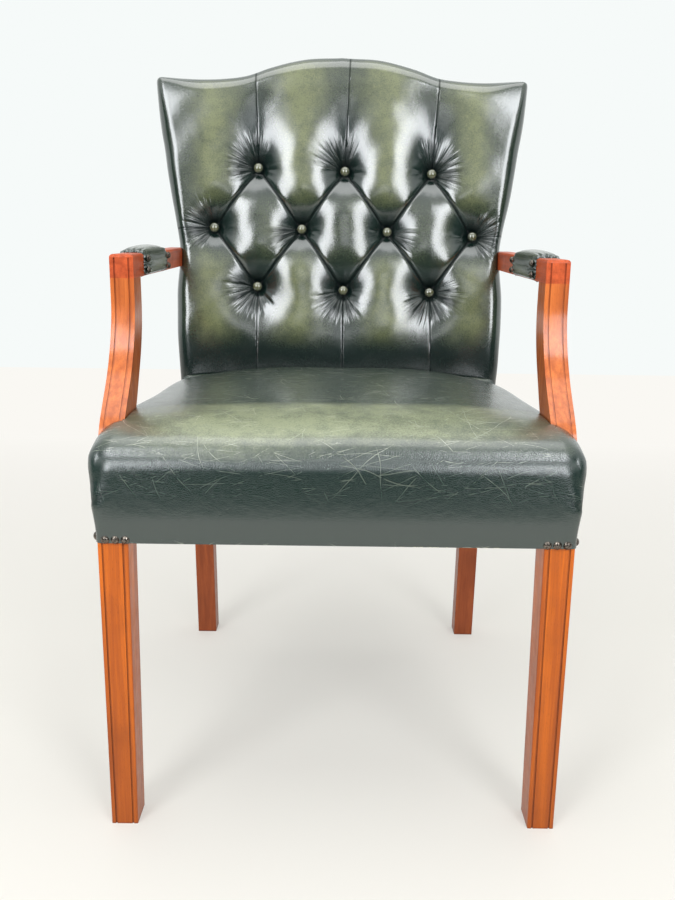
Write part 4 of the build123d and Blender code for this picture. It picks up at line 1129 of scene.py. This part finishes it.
# creases where the leather is pulled round the front corners: from, to and how deep
CORNER_CREASES = (
    ((266.0, -2.0, 400.0), (262.0, 8.0, 434.0), 1.0),
    ((262.0, -8.0, 400.0), (236.0, -12.0, 424.0), 1.2),
    ((266.0, 14.0, 402.0), (270.0, 40.0, 424.0), 0.7),
)
fold_shade = np.zeros_like(x_soft)
for side in (-1.0, 1.0):
    for start, end, depth in CORNER_CREASES:
        start, end = np.array(start) * (side, 1.0, 1.0), np.array(end) * (side, 1.0, 1.0)
        run = end - start
        spot = np.stack((x_soft, y_soft, z_soft), axis=1)
        share = np.clip(((spot - start) @ run) / (run @ run), 0.0, 1.0)
        distance = np.linalg.norm(spot - (start + share[:, None] * run), axis=1)
        pull = depth * bell(distance, 4.0) * (1.0 - 0.5 * share)
        x_soft = x_soft - pull * nx
        y_soft = y_soft - pull * ny
        # painted shade in the corner creases
        fold_shade = np.maximum(fold_shade, 0.5 * pull / depth)
print("the roll swells by up to", round(float(roll.max()), 1), "mm")

# %% Room for both arm supports
# shares of a support's height, and of its sweep back at its front and rear edge
SWEEP_FRONT = ((0, 0.19, 0.315, 0.43, 0.52, 0.65), (0, 0, 0.03, 0.23, 0.47, 0.76))
SWEEP_REAR = ((0, 0.19, 0.31, 0.42, 0.54, 0.66), (0, 0.03, 0.14, 0.39, 0.625, 0.84))
ROOM = 1.6
# a support's foot and height, where its edges stand at the foot, and how far they sweep back
FOOT, TALL = 370.0, 260.0
FRONT_EDGE, FRONT_SWEEP, REAR_EDGE, REAR_SWEEP = 44.0, 91.0, 88.0, 84.0
# where the leather begins to make room, the top of a support's lap over the rail, and the
# support's inner face above and beside the lap
ROOM_FROM, LAP_TOP, FACE_ABOVE, FACE_BESIDE = 368.5, 418.0, 239.9, 263.0


def support_edges(z):
    """The front and rear of an arm support at a height, behind the legs' faces."""
    share = np.clip((z - FOOT) / TALL, 0.0, 1.0)
    front = FRONT_EDGE + FRONT_SWEEP * np.interp(share, *SWEEP_FRONT)
    rear = REAR_EDGE + REAR_SWEEP * np.interp(share, *SWEEP_REAR)
    return front, rear


front_edge, rear_edge = support_edges(z_soft)
beside = (y_soft > front_edge - ROOM) & (y_soft < rear_edge + ROOM) & (z_soft > ROOM_FROM)
inner = np.where(z_soft > LAP_TOP, FACE_ABOVE, FACE_BESIDE)
beside &= np.abs(x_soft) > inner
x_soft = np.where(beside, np.sign(x_soft) * inner, x_soft)
points = np.stack((x_soft, LEG_FRONT + y_soft, z_soft), axis=1)
print("points pressed in beside the supports:", int(beside.sum()))

# %% Rub and wear the seat's hide and make the piece
# rubbed paler at the middle of the front edge, on the crown, and a little to the left: partly real
# wear, partly a painted sheen where the crown's shine falls
band = 1.0 - ease(z_soft, 395.0, 430.0)
centre = np.exp(-((x_soft / 215.0) ** 4)) * ease(y_soft, 0.0, 34.0)
centre = centre * (1.0 - ease(y_soft, 112.0, 142.0)) * 0.85
centre = np.maximum(centre, 0.12 * ease(nz, 0.6, 0.95))
flank = 0.4 * bell(x_soft + 120.0, 90.0) * bell(y_soft - 40.0, 50.0) * ease(nz, 0.3, 0.9)
rub = np.clip(centre + flank, 0.0, 1.0)
# cracked on top, and flaked along the lower edge of the front, most of all right of its middle
low_edge = bell(z_soft - SEAT_BOTTOM, 2.4) * (y_soft < 20.0)
right_of_middle = ease(x_soft, 40.0, 80.0) * (1.0 - ease(x_soft, 170.0, 215.0))
wear = np.clip(0.75 * ease(nz, 0.35, 0.9) + 0.3 * (1 - band), 0.0, 0.8)
wear = np.maximum(wear, low_edge * (0.86 + 0.14 * right_of_middle))
amounts = {"rub": rub, "fold_shade": fold_shade, "wear": wear}
seat_leather = mesh_piece("seat_leather", points, quads, seat_hide, amounts)
make_outward(seat_leather)
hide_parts("seat_pad", "seat_cover")
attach(seat_leather, "root")
print("seat leather:", len(points), "points,", len(quads), "quads")

# %% [markdown]
# ## The arm pads
#
# A strip of leather is drawn over a little stuffing and gathered at both ends, where nails hold
# its cut edge. The pad is swept along the arm: a ring of points for each station, fullest in the
# middle. Near the ends the ring ripples, because there the leather has more length than it needs.

# %% Measures of the arms and their pads
ARM_UNDER = 630.0
ARM_TOP = 657.5
ARM_MIDDLE = 0.5 * (ARM_UNDER + ARM_TOP)
# half of the arm's section, with about half a millimetre of air round it
ARM_HALF_WIDE, ARM_HALF_HIGH = 14.6, 14.2
PAD_FRONT = 198.0
PAD_LENGTH = 167.0
STATIONS, TURNS = 64, 96
# the arms' ends behind the legs' faces, half of their spread in front, and how much it grows
ARM_FROM, ARM_TO, ARM_SPREAD, ARM_SPLAY = 135.0, 567.0, 254.5, 9.5


def arm_centre(y):
    """Half of the arms' spread at a distance behind the legs' faces."""
    return ARM_SPREAD + (y - ARM_FROM) / (ARM_TO - ARM_FROM) * ARM_SPLAY


print("half of the spread at a pad's front:", round(arm_centre(PAD_FRONT), 1), "mm")


# %% Shape the arm pads
def arm_pad(side):
    """A pad's leather, rubbed on top, with painted shade in its gathers and on its turned-in ends.
    """
    along = np.linspace(0.0, 1.0, STATIONS)
    turn = np.linspace(0.0, math.tau, TURNS, endpoint=False)
    u, a = np.meshgrid(along, turn, indexing="ij")
    c, sn = np.cos(a), np.sin(a)
    from_end = np.minimum(u, 1.0 - u) * PAD_LENGTH
    # the arm's section with leather on it, swollen between the ends and rounder there
    swell = (4.0 * u * (1.0 - u)) ** 0.55
    half_w = ARM_HALF_WIDE + 1.4 + 3.4 * swell
    half_up = ARM_HALF_HIGH + 1.6 + 6.8 * swell
    half_down = ARM_HALF_HIGH + 1.2
    shape = 4.4 - np.where(sn > 0, 2.2, 1.4) * swell
    reach = (np.abs(c) ** shape + np.abs(sn) ** shape) ** (-1.0 / shape)
    # gathers near the ends, whose cut edge is tucked in and a little ragged
    near_end = np.exp(-from_end / 13.0)
    gathers = np.sin(a * 17.0 + 0.6 * side) + 0.5 * np.sin(a * 29.0 + 1.1)
    ripple = near_end * gathers
    tuck = 1.5 * np.exp(-from_end / 2.0)
    jag = 1.1 * np.sign(np.sin(a * 24.0)) * np.exp(-from_end / 1.5)
    y = PAD_FRONT + PAD_LENGTH * u + np.where(u < 0.5, jag, -jag)
    x = side * arm_centre(y) + (half_w + ripple - tuck) * reach * c
    z = ARM_MIDDLE + (np.where(sn > 0, half_up, half_down) + ripple - tuck) * reach * sn
    points = np.stack((x, LEG_FRONT + y, z), axis=-1).reshape(-1, 3)
    faces = []
    for i in range(STATIONS - 1):
        faces += ring_quads(i * TURNS, (i + 1) * TURNS, TURNS)
    # each end turns in to the wood
    for edge, inward in ((0, 1), (STATIONS - 1, -1)):
        faces += ring_quads(edge * TURNS, len(points), TURNS)
        shrunk = points[edge * TURNS : (edge + 1) * TURNS].copy()
        middle_x = side * arm_centre(PAD_FRONT if edge == 0 else PAD_FRONT + PAD_LENGTH)
        shrunk[:, 0] = middle_x + (shrunk[:, 0] - middle_x) * 0.86
        shrunk[:, 2] = ARM_MIDDLE + (shrunk[:, 2] - ARM_MIDDLE) * 0.86
        shrunk[:, 1] += 1.2 * inward
        points = np.concatenate((points, shrunk))
    rub = np.zeros(len(points))
    rub[: swell.size] = (0.35 * swell * ease(sn, -0.2, 0.8)).reshape(-1)
    # painted shade: the turned-in ends and the hollows of the gathers are darkened
    fold_shade = np.full(len(points), 0.8)
    fold_shade[: swell.size] = (np.clip(-gathers, 0, 1) * near_end * 0.7).reshape(-1)
    name = "arm_pad_leather_" + ("left" if side < 0 else "right")
    piece = mesh_piece(name, points, faces, back_hide, {"rub": rub, "fold_shade": fold_shade})
    make_outward(piece)
    return piece


for side, label in ((-1, "left"), (1, "right")):
    pad = arm_pad(side)
    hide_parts("arm_pad_" + label, "arm_pad_cover_" + label)
    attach(pad, "root")
    print(pad.name, "has", len(pad.data.vertices), "points")

# %% [markdown]
# ## Domed nails
#
# The nails are pressed brass: a dome with a thin, slightly flared rim that bites into the leather.
# Three stand on the front of each leg and three run back from the corner, almost touching. Four
# hold each end of an arm pad. Their places repeat what the frame's own nails have.

# %% Nails
NAIL_OUTLINE = (
    (4.4, -0.6), (5.35, -0.1), (5.4, 0.35), (5.1, 0.75), (4.7, 1.5),
    (4.0, 2.5), (3.0, 3.3), (1.7, 3.85), (0.0, 4.05),
)
NAIL_HEIGHT = 356.5
FIRST_NAIL, NAIL_STEP = 9.65, 10.95
LEATHER = 2.0
nail_head = lathe("nail_head", NAIL_OUTLINE, 24)
places, facings = [], []
for side in (-1, 1):
    for n in range(3):
        from_corner = FIRST_NAIL + NAIL_STEP * n
        places.append((side * (LEG_SIDE - from_corner), LEG_FRONT - LEATHER, NAIL_HEIGHT))
        facings.append((0.0, -1.0, 0.0))
        places.append((side * (LEG_SIDE + LEATHER), LEG_FRONT + from_corner, NAIL_HEIGHT))
        facings.append((float(side), 0.0, 0.0))
leg_nails = set_out("leg_nails", places, facings, nail_head, 1.0, 0.03, 5, nail_brass)
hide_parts("seat_nails")
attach(leg_nails, "root")

# half of a pad's width, half of the step between two nails, and how far they are from its ends
PAD_SIDE, PAD_NAIL_UP, PAD_NAIL_IN = 18.2, 7.0, 7.0
places, facings = [], []
for side in (-1, 1):
    for y in (PAD_FRONT + PAD_NAIL_IN, PAD_FRONT + PAD_LENGTH - PAD_NAIL_IN):
        for step in (-1, 1):
            for face in (-1, 1):
                x = side * arm_centre(y) + face * PAD_SIDE
                places.append((x, LEG_FRONT + y, ARM_MIDDLE + step * PAD_NAIL_UP))
                facings.append((float(face), 0.0, 0.0))
pad_nails = set_out("pad_nails", places, facings, nail_head, 0.85, 0.03, 9, nail_brass)
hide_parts("arm_pad_nails")
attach(pad_nails, "root")

for helper in (button_head, nail_head):
    bpy.data.objects.remove(helper)
print("helper heads removed")

# %% [markdown]
# ## Floor, wall and light
#
# The chair stands on a pale floor, in front of a pale wall some three metres behind it. The lamps
# light the chair at a plain level, at which a colour renders about as it is written. The white of
# the floor and the wall is their own colour, shown to the camera and to gloss, and lights nothing.

# %% Stage
def shown_rays(tree):
    """1 for what the camera, gloss and glass see, and 0 for what lights other things."""
    rays = add_node(tree, "ShaderNodeLightPath", give=None)
    seen = rays["Is Camera Ray"]
    for other in ("Is Glossy Ray", "Is Transmission Ray"):
        seen = add_node(tree, MATH, LARGER, input_0=seen, input_1=rays[other])
    return seen


def stage_finish(name, code, shown, lit):
    """A matt finish, shown by a share at its own colour to the camera and to gloss.

    The share grows to all of it behind the chair, so the floor runs into the wall.
    """
    material, tree, shader, _ = new_finish(name)
    fill(tree, shader, Base_Color=lit, Roughness=0.6)
    spot = add_node(tree, "ShaderNodeNewGeometry", give="Position")
    behind = add_node(tree, "ShaderNodeSeparateXYZ", give="Y", Vector=spot)
    between = {"From_Min": 0.3, "From_Max": 1.7, "To_Min": shown, "To_Max": 1.0}
    share = add_node(tree, RANGE, Value=behind, **between)
    share = add_node(tree, MATH, TIMES, input_0=shown_rays(tree), input_1=share)
    glow = add_node(tree, "ShaderNodeEmission", Color=code, Strength=1.0)
    lit_side = shader.outputs["BSDF"]
    mix = add_node(tree, "ShaderNodeMixShader", input_0=share, input_1=lit_side, input_2=glow)
    fill(tree, tree.nodes["Material Output"], Surface=mix)
    return material


def stage_plane(name, corners, material):
    """A flat piece of the stage from four corners in metres."""
    corners_mm = [[c * 1000 for c in corner] for corner in corners]
    piece = mesh_piece(name, corners_mm, [(0, 1, 2, 3)], material, smooth=False)
    return piece


floor_finish = stage_finish("pale_floor", "#faf8f3", 0.42, "#e6e2d9")
wall_finish = stage_finish("pale_wall", "#f6faf9", 1.0, "#f6faf9")
stage_plane("floor", ((-6, -2.6, 0), (6, -2.6, 0), (6, 6, 0), (-6, 6, 0)), floor_finish)
stage_plane("wall", ((-6, 3.25, -0.2), (6, 3.25, -0.2), (6, 3.25, 5), (-6, 3.25, 5)), wall_finish)
print("floor and wall ready")

# %% [markdown]
# The dim room behind the camera is a curtain in front, one at either side, and a carpet between
# them. Only shine sees them: the camera doesn't, and they cast no shadow and take no light away.

# %% The dim room behind the camera
# in metres: its sides and its front, how far the side curtains come, how high they are, and
# where the carpet lies and ends
SIDE, FRONT, REACH, HIGH = 3.0, -2.6, -0.4, 1.85
LOW, CARPET_END = 0.004, -1.75


def curtain(x0, y0, x1, y1):
    """Corners of an upright sheet between two places on the floor."""
    return (x0, y0, 0.0), (x1, y1, 0.0), (x1, y1, HIGH), (x0, y0, HIGH)


carpet = (
    (-SIDE, FRONT, LOW), (SIDE, FRONT, LOW), (SIDE, CARPET_END, LOW), (-SIDE, CARPET_END, LOW),
)
for name, tone, corners in (
    ("front_curtain", "#1c2020", curtain(-SIDE, FRONT, SIDE, FRONT)),
    ("left_curtain", "#3a403f", curtain(-SIDE, REACH, -SIDE, FRONT)),
    ("right_curtain", "#3a403f", curtain(SIDE, FRONT, SIDE, REACH)),
    ("carpet", "#1c2020", carpet),
):
    dim, tree, shader, _ = new_finish(name)
    fill(tree, shader, Base_Color=tone, Roughness=0.9)
    drape = stage_plane(name, corners, dim)
    drape.visible_camera = False
    drape.visible_shadow = False
    drape.visible_diffuse = False
print("the dim room has a curtain on three sides and a carpet")

# %% [markdown]
# An even light comes from the world. Two tall windows stand left and right behind the
# camera, a small pane between them gives the seat's edge and the middle of the back their narrow
# shine, and a ceiling light fills in from above.

# %% Lights
world = bpy.data.worlds.new("white_room")
world.use_nodes = True
bpy.context.scene.world = world
room = world.node_tree
shown = add_node(room, RANGE, Value=shown_rays(room), To_Min=0.48, To_Max=1.0)
fill(room, room.nodes["Background"], Color="#f6faf9", Strength=shown)


def panel_light(name, place, target, size, power, tint="#ffffff"):
    """A soft lamp of some metres and watts, turned to a target."""
    light = bpy.data.lights.new(name, "AREA")
    light.shape = "RECTANGLE"
    light.size, light.size_y = size
    light.energy = power
    light.color = hue(tint)[:3]
    lamp = add_object(name, light)
    aim = (Vector(target) - Vector(place)).to_track_quat("-Z", "Y")
    lamp.matrix_world = Matrix.Translation(place) @ aim.to_matrix().to_4x4()


panel_light("left_window", (-1.27, -2.1, 1.65), (0.0, 0.15, 0.72), (0.86, 2.0), 40.0, "#f8fbff")
panel_light("right_window", (1.09, -2.2, 1.65), (0.0, 0.15, 0.72), (0.8, 2.0), 36.0, "#f8fbff")
panel_light("middle_window", (0.0, -2.3, 1.38), (0.0, 0.15, 0.8), (0.7, 0.3), 1.5, "#f8fbff")
panel_light("ceiling", (0.0, -0.1, 2.9), (0.0, 0.1, 0.0), (2.8, 2.2), 42.0)

# %% [markdown]
# ## The camera
#
# The photograph was taken from just under a metre in front of the seat, at about elbow height,
# looking slightly down, with the picture turned a fraction of a degree. The lens is 36 mm on a
# picture whose long side counts as 36 mm.

# %% Camera
camera_data = bpy.data.cameras.new("camera")
camera_data.lens = 36.0
camera_data.sensor_width = 36.0
camera_data.sensor_fit = "AUTO"
camera = add_object("camera", camera_data)
# from the legs' faces and the floor in metres, then down and round in radians
CAMERA_BACK, CAMERA_UP = 0.933, 0.687
pitch, roll_angle = 0.239, 0.013
camera.matrix_world = (
    Matrix.Translation((0.0, LEG_FRONT / 1000 - CAMERA_BACK, CAMERA_UP))
    @ Matrix.Rotation(math.pi / 2 - pitch, 4, "X")
    @ Matrix.Rotation(roll_angle, 4, "Z")
)
bpy.context.scene.camera = camera
bpy.context.scene.view_settings.view_transform = "Standard"
print("camera at", [round(c, 3) for c in camera.matrix_world.translation])
